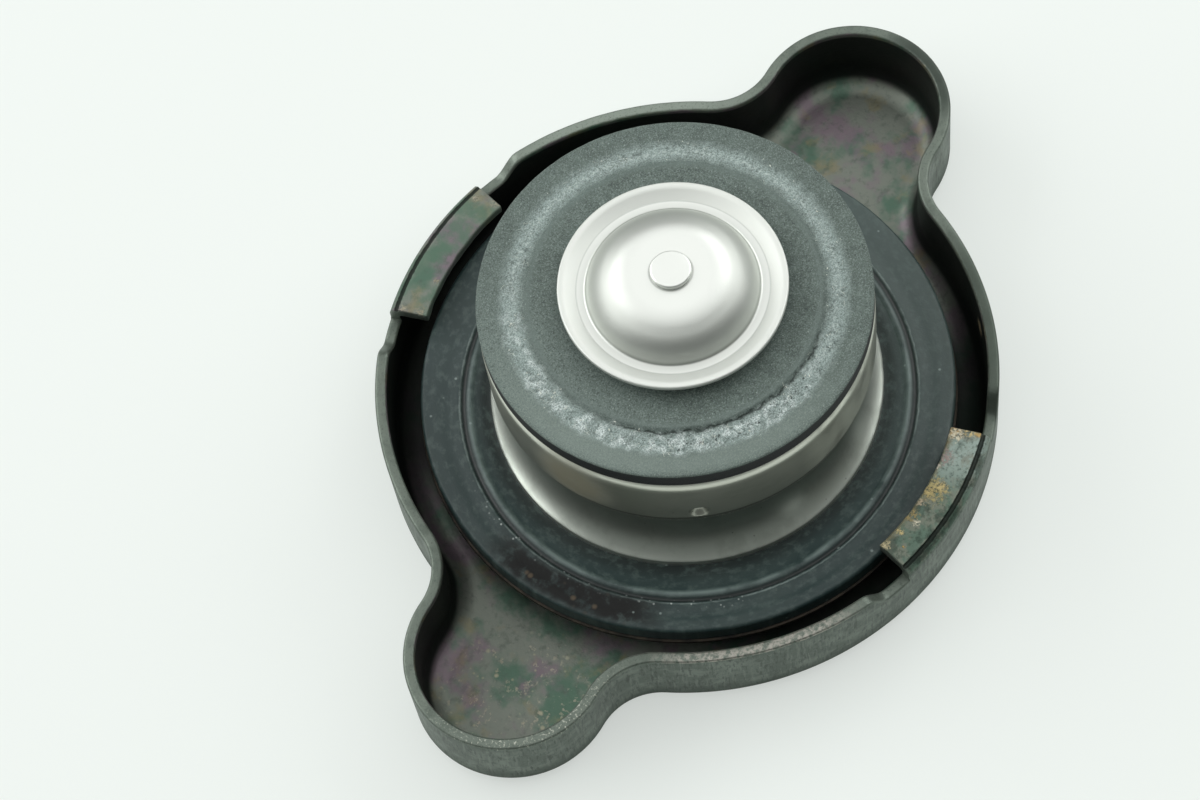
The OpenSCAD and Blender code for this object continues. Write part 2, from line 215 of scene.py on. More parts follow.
class Painter:
    """Builds one finish as a node tree."""

    def __init__(self, finish: Finish) -> None:
        """Start an empty material for a finish.

        Args:
            finish: The finish.
        """
        self.finish = finish
        self.made = bpy.data.materials.new(finish.name)
        self.made.use_nodes = True
        self.made.diffuse_color = linear(finish.colour)
        self.made.node_tree.nodes.clear()
        self.add = partial(add, self.made.node_tree)
        where = self.add("ShaderNodeTexCoord", out="Object")
        self.place = self.add("ShaderNodeVectorMath", {0: where, "Scale": 1 / MM}, operation="SCALE")

    def grain(self, mask: Mask, vector: bpy.types.NodeSocket | None = None) -> bpy.types.NodeSocket:
        """Draw fractal noise from 0 to 1 with lumps of the mask's size.

        Args:
            mask: Gives the size, stretch and offset of the lumps.
            vector: Where to read the noise, if not at the place itself.

        Returns:
            The noise.
        """
        inputs = {0: vector or self.place, 1: mask.stretch, 2: mask.at}
        moved = self.add("ShaderNodeVectorMath", inputs, operation="MULTIPLY_ADD")
        inputs = {"Vector": moved, "Scale": 1 / mask.size}
        inputs |= {"Detail": GRAIN_DETAIL, "Roughness": GRAIN_FALLOFF}
        return self.add("ShaderNodeTexNoise", inputs)

    def rough(self, mask: Mask, value: bpy.types.NodeSocket) -> bpy.types.NodeSocket:
        """Shift a value by noise, so that the edges drawn from it run ragged.

        Args:
            mask: Gives the noise's size and how ragged the edges are.
            value: The value.

        Returns:
            The shifted value.
        """
        if not mask.ragged:
            return value
        shift = {0: self.grain(Mask(Pattern.CLOUD, size=mask.size)), 1: 2 * mask.ragged, 2: -mask.ragged}
        moved = self.add("ShaderNodeMath", shift, operation="MULTIPLY_ADD")
        return self.add("ShaderNodeMath", {0: value, 1: moved}, operation="ADD")

    def ramp_ends(self, mask: Mask) -> tuple[bpy.types.NodeSocket, list[Flat]]:
        """Find the value that a mask is drawn from and where it fades in, and out if it does.

        Args:
            mask: The mask.

        Returns:
            The value, and the ends of each ramp over it.
        """
        kind = mask.pattern
        if kind in WEIGHTS:
            weight = WEIGHTS[kind]
            inputs = {0: self.place, 1: weight, 2: [-w * p for w, p in zip(weight, mask.at)]}
            moved = self.add("ShaderNodeVectorMath", inputs, operation="MULTIPLY_ADD")
            reach = self.add("ShaderNodeVectorMath", {0: moved}, "Value", operation="LENGTH")
            soft = mask.soft
            ends = [(mask.start - soft, mask.start + soft), (mask.stop + soft, mask.stop - soft)]
            return self.rough(mask, reach), ends
        if kind is Pattern.SECTOR:
            flat = self.add("ShaderNodeVectorMath", {0: self.place, 1: (1, 1, 0)}, operation="MULTIPLY")
            arm = self.add("ShaderNodeVectorMath", {0: flat}, operation="NORMALIZE")
            middle, half = math.radians(mask.start + mask.stop) / 2, (mask.stop - mask.start) / 2
            inputs = {0: arm, 1: (math.cos(middle), math.sin(middle), 0)}
            facing = self.add("ShaderNodeVectorMath", inputs, "Value", operation="DOT_PRODUCT")
            outside, inside = half + mask.soft, max(0.0, half - mask.soft)
            ends = [(math.cos(math.radians(outside)), math.cos(math.radians(inside)))]
            return self.rough(mask, facing), ends
        if kind is Pattern.MARK:
            read = self.add("ShaderNodeAttribute", out="Fac", attribute_name=mask.mark)
            return self.rough(mask, read), [(mask.low, mask.high)]
        if kind is Pattern.SPUN:
            parts = self.add("ShaderNodeSeparateXYZ", {0: self.place}).node.outputs
            flat = self.add("ShaderNodeVectorMath", {0: self.place, 1: (1, 1, 0)}, operation="MULTIPLY")
            reach = self.add("ShaderNodeVectorMath", {0: flat}, "Value", operation="LENGTH")
            turned = self.add("ShaderNodeCombineXYZ", {0: reach, 1: parts[0], 2: parts[1]})
            return self.grain(mask, turned), [(mask.low, mask.high)]
        return self.grain(mask), [(mask.low, mask.high)]

    def mask(self, mask: Mask) -> list[bpy.types.NodeSocket]:
        """Draw a mask.

        Args:
            mask: The mask.

        Returns:
            Values from 0 to 1, whose product says where it holds.
        """
        if mask.pattern is Pattern.SPECK:
            inputs = {"Vector": self.place, "Scale": 1 / mask.size}
            cells = self.add("ShaderNodeTexVoronoi", inputs).node.outputs
            inputs = {"Value": cells["Distance"], "From Min": mask.high, "From Max": mask.low}
            blob = self.add("ShaderNodeMapRange", inputs, interpolation_type="SMOOTHSTEP")
            red = self.add("ShaderNodeSeparateColor", {0: cells["Color"]})
            return [blob, self.add("ShaderNodeMath", {0: red, 1: mask.share}, operation="LESS_THAN")]
        value, ends = self.ramp_ends(mask)
        found = []
        for low, high in ends:
            inputs = {"Value": value, "From Min": low, "From Max": high}
            found.append(self.add("ShaderNodeMapRange", inputs, interpolation_type="SMOOTHSTEP"))
        return found

    def paint(self) -> bpy.types.Material:
        """Lay every layer over the base.

        Returns:
            The material.
        """
        finish = self.finish
        colour, rough, metal = linear(finish.colour), finish.roughness, finish.metallic
        height: float | bpy.types.NodeSocket = 0.0
        for layer in finish.layers:
            factor: float | bpy.types.NodeSocket = layer.amount
            for mask in layer.masks:
                for value in self.mask(mask):
                    factor = self.add("ShaderNodeMath", {0: value, 1: factor}, operation="MULTIPLY")
            if layer.colour:
                inputs = {0: factor, 6: colour, 7: linear(layer.colour)}
                colour = self.add("ShaderNodeMix", inputs, 2, data_type="RGBA")
            if layer.roughness is not None:
                inputs = {0: factor, 2: rough, 3: layer.roughness}
                rough = self.add("ShaderNodeMix", inputs, data_type="FLOAT")
            if layer.metallic is not None:
                inputs = {0: factor, 2: metal, 3: layer.metallic}
                metal = self.add("ShaderNodeMix", inputs, data_type="FLOAT")
            if layer.lift:
                inputs = {0: factor, 1: layer.lift, 2: height}
                height = self.add("ShaderNodeMath", inputs, operation="MULTIPLY_ADD")
        inputs = {
            "Base Color": colour,
            "Roughness": rough,
            "Metallic": metal,
            "Specular IOR Level": finish.specular,
        }
        if isinstance(height, bpy.types.NodeSocket):
            bump = {"Height": height, "Distance": MM, "Strength": 1.0}
            inputs["Normal"] = self.add("ShaderNodeBump", bump)
        shader = self.add("ShaderNodeBsdfPrincipled", inputs)
        self.add("ShaderNodeOutputMaterial", {"Surface": shader})
        LOG.info("%s: %d nodes", finish.name, len(self.made.node_tree.nodes))
        return self.made


CLOUD, SPECK, SPUN, RING = Pattern.CLOUD, Pattern.SPECK, Pattern.SPUN, Pattern.RING
HEIGHT, SPOT, SECTOR, MARK = Pattern.HEIGHT, Pattern.SPOT, Pattern.SECTOR, Pattern.MARK

NEAR_TANG = Mask(SPOT, at=(0.0, -26.0, 9.0), start=-1, stop=7.6, soft=0.6)
FAR_TANG = Mask(SPOT, at=(0.0, 26.0, 9.0), start=-1, stop=7.6, soft=0.6)
TANG = Mask(MARK, mark="tang", low=0.4, high=0.6)
OUTER = Mask(MARK, mark="outer", low=0.3, high=0.7)
RIM = Mask(MARK, mark="rim", size=0.6, low=0.35, high=0.65, ragged=0.3)
NEAR_EAR = Mask(SPOT, at=(-33.0, -1.0, 1.0), start=-1, stop=6.5, soft=2.5)

# Where zinc corrosion has broken through on the tangs, most on the near one: place, reach and colour
BLOOM = tuple(
    Layer((TANG,
           Mask(SPOT, at=(x, y, 9.0), start=-1, stop=reach, soft=0.5 * reach, size=0.3,
                ragged=1.7 * reach),
           Mask(CLOUD, size=0.3, low=0.4, high=0.54, at=(9 * x, 4 * y, 0))),
          colour=colour, roughness=0.85, metallic=0.0, amount=0.85, lift=0.04)
    for x, y, reach, colour in (
        (0.4, -25.5, 1.05, "#b0a370"),
        (0.9, -25.9, 0.5, "#cdbb85"),
        (0.0, -25.2, 0.4, "#c4b07a"),
        (-2.7, -24.9, 0.55, "#97875a"),
        (-1.2, -25.0, 0.35, "#b3a58c"),
        (-3.2, -25.7, 0.26, "#e3dcc4"),
        (-4.6, -24.8, 0.3, "#c9b782"),
        (-5.7, -25.8, 0.14, "#b79a5c"),
        (-6.4, -24.3, 0.4, "#cfc29a"),
        (3.7, -24.8, 0.7, "#9c8c86"),
        (2.6, -24.7, 0.22, "#d8d2c4"),
        (6.6, -24.2, 0.8, "#b8965c"),
        (6.2, -24.6, 0.6, "#e6dfc6"),
        (7.0, -25.6, 0.5, "#d3c08c"),
        (7.2, -26.4, 0.4, "#c9a868"),
        (6.7, 24.4, 0.45, "#8f8c7a"),
        (6.2, 26.4, 0.3, "#9a9582"),
        (-6.6, 24.6, 0.4, "#938d78"),
        (-3.0, 25.0, 0.25, "#8b8772"),
        (-7.0, 26.2, 0.3, "#a19b86"),
    )
)

# Black chromate on zinc-plated steel: a thin film, grey-olive with green and mauve
# iridescence, hazed outside and rubbed to grey along the rim, with painted shade that makes the
# inside wall and the gap beside the gasket near black and darkens the foot outside. Its
# finest mottle, 0.2 mm, is coarser than the real film's, so that it shows.
CHROMATE_SHELL = Finish(
    "black_chromate_steel",
    "#72786f",
    0.44,
    metallic=0.7,
    layers=(
        Layer((Mask(CLOUD, size=6, low=0.46, high=0.6, at=(3, 0, 0)),), colour="#426352", amount=0.8),
        Layer((Mask(CLOUD, size=5, low=0.48, high=0.63, at=(40, 9, 0)),), colour="#756770", amount=0.85),
        Layer((Mask(CLOUD, size=3.5, low=0.54, high=0.68, at=(7, 80, 3)),),
              colour="#7d7659", amount=0.6),
        Layer((Mask(CLOUD, size=0.7, low=0.5, high=0.75, at=(9, 3, 30)),), colour="#4a524b", amount=0.5),
        # Corrosion that has bloomed through the film on the near ear's floor
        Layer((Mask(SPECK, size=1.5, low=0.04, high=0.2, share=0.5), NEAR_EAR),
              colour="#b9b69c", roughness=0.8, metallic=0.0, amount=0.75, lift=0.02),
        Layer((Mask(SPECK, size=0.6, low=0.08, high=0.3, share=0.2), NEAR_EAR),
              colour="#a8a58c", roughness=0.8, metallic=0.0, amount=0.5),
        Layer((Mask(CLOUD, size=0.45, low=0.55, high=0.66, at=(2, 7, 5)),
               Mask(CLOUD, size=2.4, low=0.48, high=0.6), NEAR_EAR),
              colour="#b3ab98", roughness=0.8, metallic=0.0, amount=0.6),
        # In the gap beside the gasket, away from the ears, the film is painted almost black: a painted
        # shade
        *(Layer((Mask(RING, start=20, stop=30, soft=1.0), Mask(HEIGHT, start=-3, stop=4.0, soft=1.0),
                 Mask(SECTOR, start=start, stop=start + 96, soft=12)),
                colour="#131916", roughness=0.6, amount=0.9)
          for start in (42, -138)),
        # The outside: hazed, with streaks along the height, and dull beneath, where a darker colour is
        # painted shade at the foot
        Layer((OUTER,), colour="#58635a", roughness=0.52),
        Layer((OUTER, Mask(CLOUD, size=2.6, low=0.42, high=0.68, stretch=(1, 1, 1.6))),
              colour="#7a857b", amount=0.7),
        Layer((OUTER, Mask(CLOUD, size=1.1, low=0.55, high=0.7, at=(0, 50, 0))),
              colour="#3c453e", amount=0.55),
        Layer((OUTER, Mask(CLOUD, size=0.3, low=0.5, high=0.66, stretch=(1, 1, 0.12))),
              colour="#7d877e", amount=0.45),
        Layer((OUTER, Mask(CLOUD, size=0.25, low=0.52, high=0.64, stretch=(1, 1, 0.2), at=(8, 0, 0))),
              colour="#2c342e", amount=0.5),
        # Dull at the foot, and darker there as painted shade
        Layer((OUTER, Mask(HEIGHT, start=-3, stop=2.2, soft=1.6)),
              colour="#465048", roughness=0.9, metallic=0.0),
        # The inside wall, painted near black as shade, and a smear of dirt on it
        Layer((Mask(MARK, mark="inside", low=0.2, high=0.8),),
              colour="#141a17", roughness=0.56, amount=0.95),
        Layer((Mask(SPOT, at=(18.0, -20.7, 6.0), start=-1, stop=0.7, soft=0.4, ragged=0.3, size=0.5),),
              colour="#a3957a", roughness=0.7, amount=0.8),
        # The tangs' film: teal and olive, mauve at one end, gone to gold and cream bloom at the near one
        Layer((TANG, FAR_TANG, Mask(CLOUD, size=3, low=0.4, high=0.6)), colour="#526a5a", amount=0.8),
        Layer((TANG, NEAR_TANG), colour="#556b5d", roughness=0.42, amount=0.9),
        Layer((TANG, Mask(SPOT, at=(5.6, -25.2, 9.0), start=-1, stop=3.8, soft=2.6)),
              colour="#9aa8a1", amount=0.75),
        Layer((TANG, NEAR_TANG, Mask(CLOUD, size=1.2, low=0.45, high=0.6, at=(4, 4, 0))),
              colour="#75776b", amount=0.7),
        Layer((TANG, NEAR_TANG, Mask(CLOUD, size=0.35, low=0.5, high=0.66, at=(0, 7, 0))),
              colour="#39453c", amount=0.6),
        Layer((TANG, NEAR_TANG, Mask(CLOUD, size=1.6, low=0.5, high=0.6, at=(11, 2, 0))),
              colour="#2f3d34", amount=0.6),
        Layer((TANG, NEAR_TANG, Mask(RING, start=24, stop=25.0, soft=0.35, size=0.8, ragged=0.5)),
              colour="#837a5c", roughness=0.7, amount=0.65),
        *BLOOM,
        # The scored line at each tang's fold, painted near black as shade in its groove
        Layer((Mask(MARK, mark="score", size=0.5, low=0.35, high=0.8, ragged=0.5),),
              colour="#1a211c", roughness=0.7, amount=0.9),
        # The rim: rubbed grey, with bare metal where the near side has been gripped
        Layer((RIM,), colour="#687168", roughness=0.42),
        Layer((RIM, Mask(CLOUD, size=1.6, low=0.45, high=0.65, at=(60, 0, 0))),
              colour="#525b53", amount=0.6),
        Layer((RIM, Mask(SECTOR, start=-68, stop=-34, soft=8)), colour="#3c453d", amount=0.75),
        Layer((RIM, Mask(SECTOR, start=22, stop=64, soft=10)), colour="#8b958b", amount=0.7),
        Layer((RIM, Mask(SPOT, at=(39.0, -5.0, 9.0), start=-1, stop=5.0, soft=2.0)),
              colour="#2c342e", amount=0.8),
        Layer((Mask(MARK, mark="rim", size=0.4, low=0.4, high=0.7, ragged=0.4),
               Mask(CLOUD, size=0.5, low=0.36, high=0.6), Mask(SECTOR, start=-152, stop=-121, soft=6)),
              colour="#a6a39a", roughness=0.36, metallic=0.95, amount=0.85),
        Layer((RIM, Mask(CLOUD, size=0.2, low=0.52, high=0.68)), colour="#434c45", amount=0.5),
        Layer((RIM, Mask(CLOUD, size=0.24, low=0.56, high=0.66, at=(6, 0, 2)),
               Mask(SPOT, at=(-37.0, -6.0, 9.0), start=-1, stop=8.0, soft=4.0)),
              colour="#bcbfb2", roughness=0.36, amount=0.8),
        Layer((Mask(CLOUD, size=0.3, low=0.2, high=0.8),), lift=0.008),
        Layer((Mask(CLOUD, size=2.2, low=0.2, high=0.8),), lift=0.02),
    ),
)

# The ring that the filler neck has pressed into the gasket lies off the axis
PRESSED = (-0.643, -0.555, 0.0)
# Moulded EPDM rubber: slate black with a dull bluish gloss, marked and scuffed by the
# neck's rim, with a painted sheen on one side, painted shade by the bell and painted highlights
# and shade along the pressed ring. The mould's turning lines are drawn far coarser than real, so that they
# show.
GASKET_RUBBER = Finish(
    "moulded_epdm_rubber",
    "#213332",
    0.5,
    layers=(
        Layer((Mask(CLOUD, size=5, low=0.4, high=0.7),), colour="#2b3b39", roughness=0.6),
        # A painted sheen, lighter towards the right side
        Layer((Mask(SECTOR, start=-65, stop=5, soft=35),), colour="#42504c", amount=0.6),
        # Painted shade, darker beside the bell's foot
        Layer((Mask(RING, start=0, stop=19.2, soft=0.8),), colour="#171d1c", amount=0.7),
        Layer((Mask(SPUN, size=0.9, low=0.45, high=0.7),), colour="#465551", amount=0.6),
        # Along the pressed ring: a painted highlight on its crest, painted shade in the groove beside it
        # and a painted highlight on the groove's outer edge
        Layer((Mask(RING, at=PRESSED, start=19.9, stop=20.3, soft=0.25, size=2.5, ragged=0.1),
               Mask(CLOUD, size=4, low=0.3, high=0.6)), colour="#788884", amount=0.75),
        Layer((Mask(RING, at=PRESSED, start=20.5, stop=20.9, soft=0.15),), colour="#121716", amount=0.8),
        Layer((Mask(RING, at=PRESSED, start=21.02, stop=21.12, soft=0.12, size=0.6, ragged=0.12),
               Mask(CLOUD, size=3, low=0.3, high=0.55, at=(0, 0, 9))), colour="#93a19d", amount=0.75),
        Layer((Mask(RING, at=PRESSED, start=20.9, stop=21.6, soft=0.3),
               Mask(SECTOR, start=-205, stop=-135, soft=12),
               Mask(SPECK, size=0.4, low=0.1, high=0.35, share=0.4)), colour="#c2cbc7", amount=0.8),
        # Dirt with a rusty cast, left by the neck's rim
        Layer((Mask(RING, start=21.8, stop=24.3, soft=0.5, size=1.2, ragged=0.5),
               Mask(SECTOR, start=-196, stop=-158, soft=6), Mask(CLOUD, size=1.6, low=0.25, high=0.5)),
              colour="#080706", roughness=0.85, amount=0.95),
        Layer((Mask(RING, start=22.0, stop=24.2, soft=0.5), Mask(SECTOR, start=-194, stop=-160, soft=6),
               Mask(SPECK, size=0.9, low=0.1, high=0.4, share=0.35)),
              colour="#5a4d3c", roughness=0.8, amount=0.7),
        Layer((Mask(SPECK, size=1.1, low=0.05, high=0.16, share=0.1),), colour="#8a9894", amount=0.65),
        Layer((Mask(CLOUD, size=0.3, low=0.2, high=0.8),), lift=0.01),
    ),
)

WORN = Mask(RING, start=13.55, stop=15.2, soft=0.55, size=1.1, ragged=0.6)
NEAR_SIDE = Mask(SECTOR, start=-172, stop=-76, soft=10)
# Nitrile rubber, moulded matt: slate grey with fine filler specks, scuffed to a pale
# fibrous ring where the valve seat rubs, with a torn edge on the near side, a painted sheen on
# the left and painted shade on its side and in the tear. Specks and
# fibres are drawn at 0.11 mm and up, coarser than real, so that they show.
SEAL_RUBBER = Finish(
    "moulded_nitrile_rubber",
    "#4c5852",
    0.7,
    specular=0.4,
    layers=(
        Layer((Mask(CLOUD, size=1.4, low=0.35, high=0.7),), colour="#58655f"),
        # A painted sheen, lighter on the left
        Layer((Mask(SECTOR, start=128, stop=194, soft=25),), colour="#65726c", amount=0.6),
        Layer((Mask(CLOUD, size=0.14, low=0.52, high=0.36),), colour="#303936", amount=0.7),
        Layer((Mask(CLOUD, size=0.12, low=0.46, high=0.68, at=(3, 3, 3)),),
              colour="#84918b", amount=0.6),
        Layer((Mask(SPECK, size=0.45, low=0.05, high=0.2, share=0.14),), colour="#95a29c", amount=0.7),
        Layer((Mask(SECTOR, start=-205, stop=-100, soft=30),
               Mask(RING, start=15.3, stop=17.2, soft=0.6)), colour="#76837c", amount=0.55),
        Layer((Mask(RING, start=12.6, stop=13.1, soft=0.3, size=3, ragged=0.2),),
              colour="#5e6b66", roughness=0.6, amount=0.6),
        # The seal's side, painted near black as shade
        Layer((Mask(HEIGHT, start=21, stop=23.82, soft=0.06, size=0.4, ragged=0.06),),
              colour="#15191a", roughness=0.55),
        # The scuffed ring: a pale ground, fibres over it, pits between them
        Layer((WORN, Mask(CLOUD, size=1.6, low=0.25, high=0.6, at=(0, 0, 4))),
              colour="#7b8c87", amount=0.6),
        Layer((WORN, Mask(CLOUD, size=0.13, low=0.32, high=0.72, at=(7, 0, 0))),
              colour="#c0cfcb", amount=0.65),
        Layer((WORN, Mask(CLOUD, size=0.45, low=0.56, high=0.7, at=(1, 8, 0))),
              colour="#46524e", amount=0.75),
        Layer((WORN, Mask(SECTOR, start=-229, stop=-95, soft=25),
               Mask(CLOUD, size=0.9, low=0.46, high=0.62, at=(5, 5, 0)),
               Mask(CLOUD, size=0.11, low=0.38, high=0.62)), colour="#e4eeec", amount=0.85),
        Layer((Mask(RING, start=14.1, stop=14.5, soft=0.3, size=0.8, ragged=0.3),
               Mask(SECTOR, start=-95, stop=135, soft=20),
               Mask(CLOUD, size=0.3, low=0.45, high=0.66, at=(2, 0, 6))), colour="#c9d6d2", amount=0.6),
        # The tear at the ring's inner edge and the patches sunk beside it are painted dark, a painted shade
        # in them
        Layer((Mask(RING, start=13.3, stop=13.42, soft=0.1, size=0.9, ragged=0.45), NEAR_SIDE,
               Mask(CLOUD, size=0.7, low=0.36, high=0.5, at=(0, 9, 0))),
              colour="#1f2724", amount=0.9, lift=-0.1),
        Layer((WORN, NEAR_SIDE, Mask(CLOUD, size=0.5, low=0.6, high=0.66, at=(0, 9, 2))),
              colour="#2a332f", amount=0.8, lift=-0.06),
        Layer((WORN, Mask(CLOUD, size=0.35, low=0.4, high=0.75, at=(0, 5, 3))), lift=0.08),
        Layer((WORN, Mask(CLOUD, size=0.12, low=0.4, high=0.7, at=(5, 0, 3))), lift=0.03),
        Layer((Mask(CLOUD, size=0.18, low=0.2, high=0.8),), lift=0.012),
    ),
)

# Stainless strip, deep drawn and tumbled: bright satin, with an orange-peel grain where
# it was stretched, at 0.1 mm as coarse as it needs to show.
VACUUM_STEEL = Finish(
    "tumbled_stainless_steel",
    "#e3e6e1",
    0.38,
    metallic=1.0,
    layers=(
        Layer((Mask(RING, start=4.6, stop=7.75, soft=1.2),), roughness=0.5),
        Layer((Mask(CLOUD, size=0.11, low=0.3, high=0.7), Mask(RING, start=4.4, stop=7.6, soft=0.5)),
              lift=0.0026),
        Layer((Mask(CLOUD, size=0.1, low=0.3, high=0.7),), lift=0.001),
        # The dome's slope painted darker: a painted darker reflection
        Layer((Mask(RING, start=4.9, stop=7.75, soft=1.6),), colour="#a6aaa4", amount=0.8),
        # A painted shadow round the stem's head
        Layer((Mask(RING, start=1.8, stop=1.98, soft=0.08),
               Mask(HEIGHT, start=20, stop=28.6, soft=0.05)), colour="#8f938e", amount=0.6),
        Layer((Mask(RING, start=8.45, stop=11, soft=0.1),), colour="#d7dad5", roughness=0.6),
        # Painted shade in the crease at the dome's foot and in the crease where the low ring meets the
        # flange
        Layer((Mask(RING, start=7.55, stop=7.72, soft=0.1),), colour="#8b8f8a", amount=0.6),
        Layer((Mask(RING, start=8.42, stop=8.52, soft=0.06),), colour="#a5a9a4", amount=0.5),
    ),
)

# Zinc-plated steel, drawn and dulled: pewter grey with a painted highlight along the upper edge,
# painted shade on the crimped foot, hazed on one side and stained brown on the other.
CUP_ZINC = Finish(
    "zinc_plated_steel",
    "#a4a79c",
    0.4,
    metallic=0.92,
    layers=(
        Layer((Mask(CLOUD, size=4, low=0.45, high=0.7, stretch=(1, 1, 2)),),
              colour="#92958a", amount=0.6),
        # A painted highlight along the rounded upper edge
        Layer((Mask(HEIGHT, start=21.0, stop=24, soft=0.7),),
              colour="#d9dcd0", roughness=0.36, amount=0.85),
        Layer((Mask(SECTOR, start=-104, stop=-76, soft=9),
               Mask(CLOUD, size=4, low=0.3, high=0.55, at=(3, 0, 9))),
              colour="#92978b", roughness=0.55, metallic=0.3, amount=0.75),
        Layer((Mask(SPOT, at=(-17.4, 0.6, 18.2), start=-1, stop=3.2, soft=1.8, size=1.5, ragged=0.7),),
              colour="#7d7863", roughness=0.65, metallic=0.2, amount=0.75),
        # Painted shade, with a duller surface, on the crimped foot
        Layer((Mask(HEIGHT, start=10, stop=15.5, soft=0.1, size=1, ragged=0.08),),
              colour="#62655d", roughness=0.55),
        Layer((Mask(HEIGHT, start=10, stop=14.6, soft=0.1, size=0.3, ragged=0.15),
               Mask(CLOUD, size=0.2)), colour="#c9cbc3", amount=0.8, lift=0.03),
        Layer((Mask(SPECK, size=1.3, low=0.03, high=0.09, share=0.3),), colour="#3f413b", amount=0.7),
        Layer((Mask(CLOUD, size=0.3, low=0.3, high=0.7, stretch=(1, 1, 0.3)),), lift=0.003),
    ),
)

# Nickel-plated steel, drawn: pale satin, with painted shade where the cup overhangs it.
BELL_PLATE = Finish(
    "nickel_plated_steel",
    "#d0d7cd",
    0.36,
    metallic=0.95,
    layers=(
        Layer((Mask(CLOUD, size=3, low=0.45, high=0.7),), colour="#bdc4ba", roughness=0.4),
        # Painted shade under the cup's overhang
        Layer((Mask(HEIGHT, start=8.8, stop=20, soft=1.4),),
              colour="#7b7f76", roughness=0.36, amount=0.75),
        Layer((Mask(SPECK, size=0.9, low=0.04, high=0.12, share=0.3),), colour="#6d716a", amount=0.6),
        Layer((Mask(SPUN, size=0.5, low=0.3, high=0.7),), lift=0.0008),
    ),
)

# Tempered strip, browned with age: dark, with a dull sheen and faint lines about the axis.
SPRING_STEEL = Finish(
    "tempered_spring_strip",
    "#38332b",
    0.55,
    metallic=0.7,
    layers=(
        Layer((Mask(CLOUD, size=2, low=0.42, high=0.62),), colour="#262420", roughness=0.65),
        Layer((Mask(SPUN, size=0.3, low=0.3, high=0.7),), lift=0.003),
    ),
)

# Drawn spring wire, oiled: dark grey with a soft gloss, dulled in patches.
SPRING_WIRE = Finish(
    "drawn_spring_wire",
    "#74777a",
    0.36,
    metallic=1.0,
    layers=(
        Layer((Mask(CLOUD, size=2.2, low=0.45, high=0.65),), colour="#575856", roughness=0.5),
        Layer((Mask(CLOUD, size=0.3, low=0.3, high=0.7),), lift=0.004),
    ),
)

# Turned and plated steel, inside the cap and so still clean: pale grey with turning lines,
# drawn coarser than real so that they show.
PLATED_STEEL = Finish(
    "plated_mild_steel",
    "#a3a39a",
    0.36,
    metallic=1.0,
    layers=(
        Layer((Mask(CLOUD, size=3, low=0.45, high=0.7),), colour="#8f8f86", roughness=0.45),
        Layer((Mask(SPUN, size=0.2, low=0.3, high=0.7),), lift=0.003),
    ),
)

# Rubber torn to threads and dust, dry and pale.
TORN_RUBBER = Finish("torn_rubber_threads", "#d9ddd2", 0.6)


@dataclass(frozen=True)
class Corner:
    """A corner of a section: its place and the radius that rounds it."""

    r: float
    z: float
    fillet: float = 0.0


def rounded(
    corners: Sequence[Corner], closed: bool, arc_step: float = 0.12, line_step: float = 9.0,
) -> list[Flat]:
    """Round the corners of a section.

    Args:
        corners: The corners in order.
        closed: Whether the last corner joins the first.
        arc_step: Spacing of points round a fillet.
        line_step: Greatest spacing of points along a straight.

    Returns:
        The points of the rounded section.
    """
    count = len(corners)
    points: list[Flat] = []
    for i, corner in enumerate(corners):
        here = Vector((corner.r, corner.z))
        open_end = not closed and i in (0, count - 1)
        if corner.fillet <= 0 or open_end:
            points.append((here.x, here.y))
            continue
        before = Vector((corners[i - 1].r, corners[i - 1].z)) - here
        after = Vector((corners[(i + 1) % count].r, corners[(i + 1) % count].z)) - here
        half = before.angle(after) / 2
        most = FILLET_SHARE * min(before.length, after.length)
        reach = min(corner.fillet / math.tan(half), most)
        radius = reach * math.tan(half)
        start, end = here + before.normalized() * reach, here + after.normalized() * reach
        centre = here + (before.normalized() + after.normalized()).normalized() * radius / math.sin(half)
        sweep = math.pi - 2 * half
        steps = max(2, math.ceil(sweep * radius / arc_step))
        first, last = start - centre, end - centre
        for k in range(steps + 1):
            t = k / steps
            fore, aft = (math.sin(part * sweep) / math.sin(sweep) for part in (1 - t, t))
            arm = first * fore + last * aft
            points.append((centre.x + arm.x, centre.y + arm.y))
    dense: list[Flat] = []
    pairs = list(zip(points, points[1:] + points[:1]))
    for a, b in pairs if closed else pairs[:-1]:
        parts = max(1, math.ceil(math.dist(a, b) / line_step))
        dr, dz = b[0] - a[0], b[1] - a[1]
        dense += [(a[0] + dr * k / parts, a[1] + dz * k / parts) for k in range(parts)]
    return dense if closed else dense + [points[-1]]


def mesh_of(
    name: str, points: Sequence[Solid], faces: Sequence[Sequence[int]],
    marks: dict[str, Sequence[float]] | None = None,
) -> bpy.types.Mesh:
    """Make a closed mesh with its faces outwards.

    Args:
        name: The mesh's name.
        points: Places in mm.
        faces: Rows of point numbers.
        marks: Attribute name to one value for each point.

    Returns:
        The mesh, in metres.
    """
    made = bpy.data.meshes.new(name)
    made.from_pydata([(x * MM, y * MM, z * MM) for x, y, z in points], [], faces)
    for mark, values in (marks or {}).items():
        made.attributes.new(mark, "FLOAT", "POINT").data.foreach_set("value", values)
    work = bmesh.new()
    work.from_mesh(made)
    bmesh.ops.recalc_face_normals(work, faces=work.faces)
    work.to_mesh(made)
    work.free()
    made.shade_smooth()
    made.set_sharp_from_angle(angle=math.radians(SHARP_EDGE))
    return made


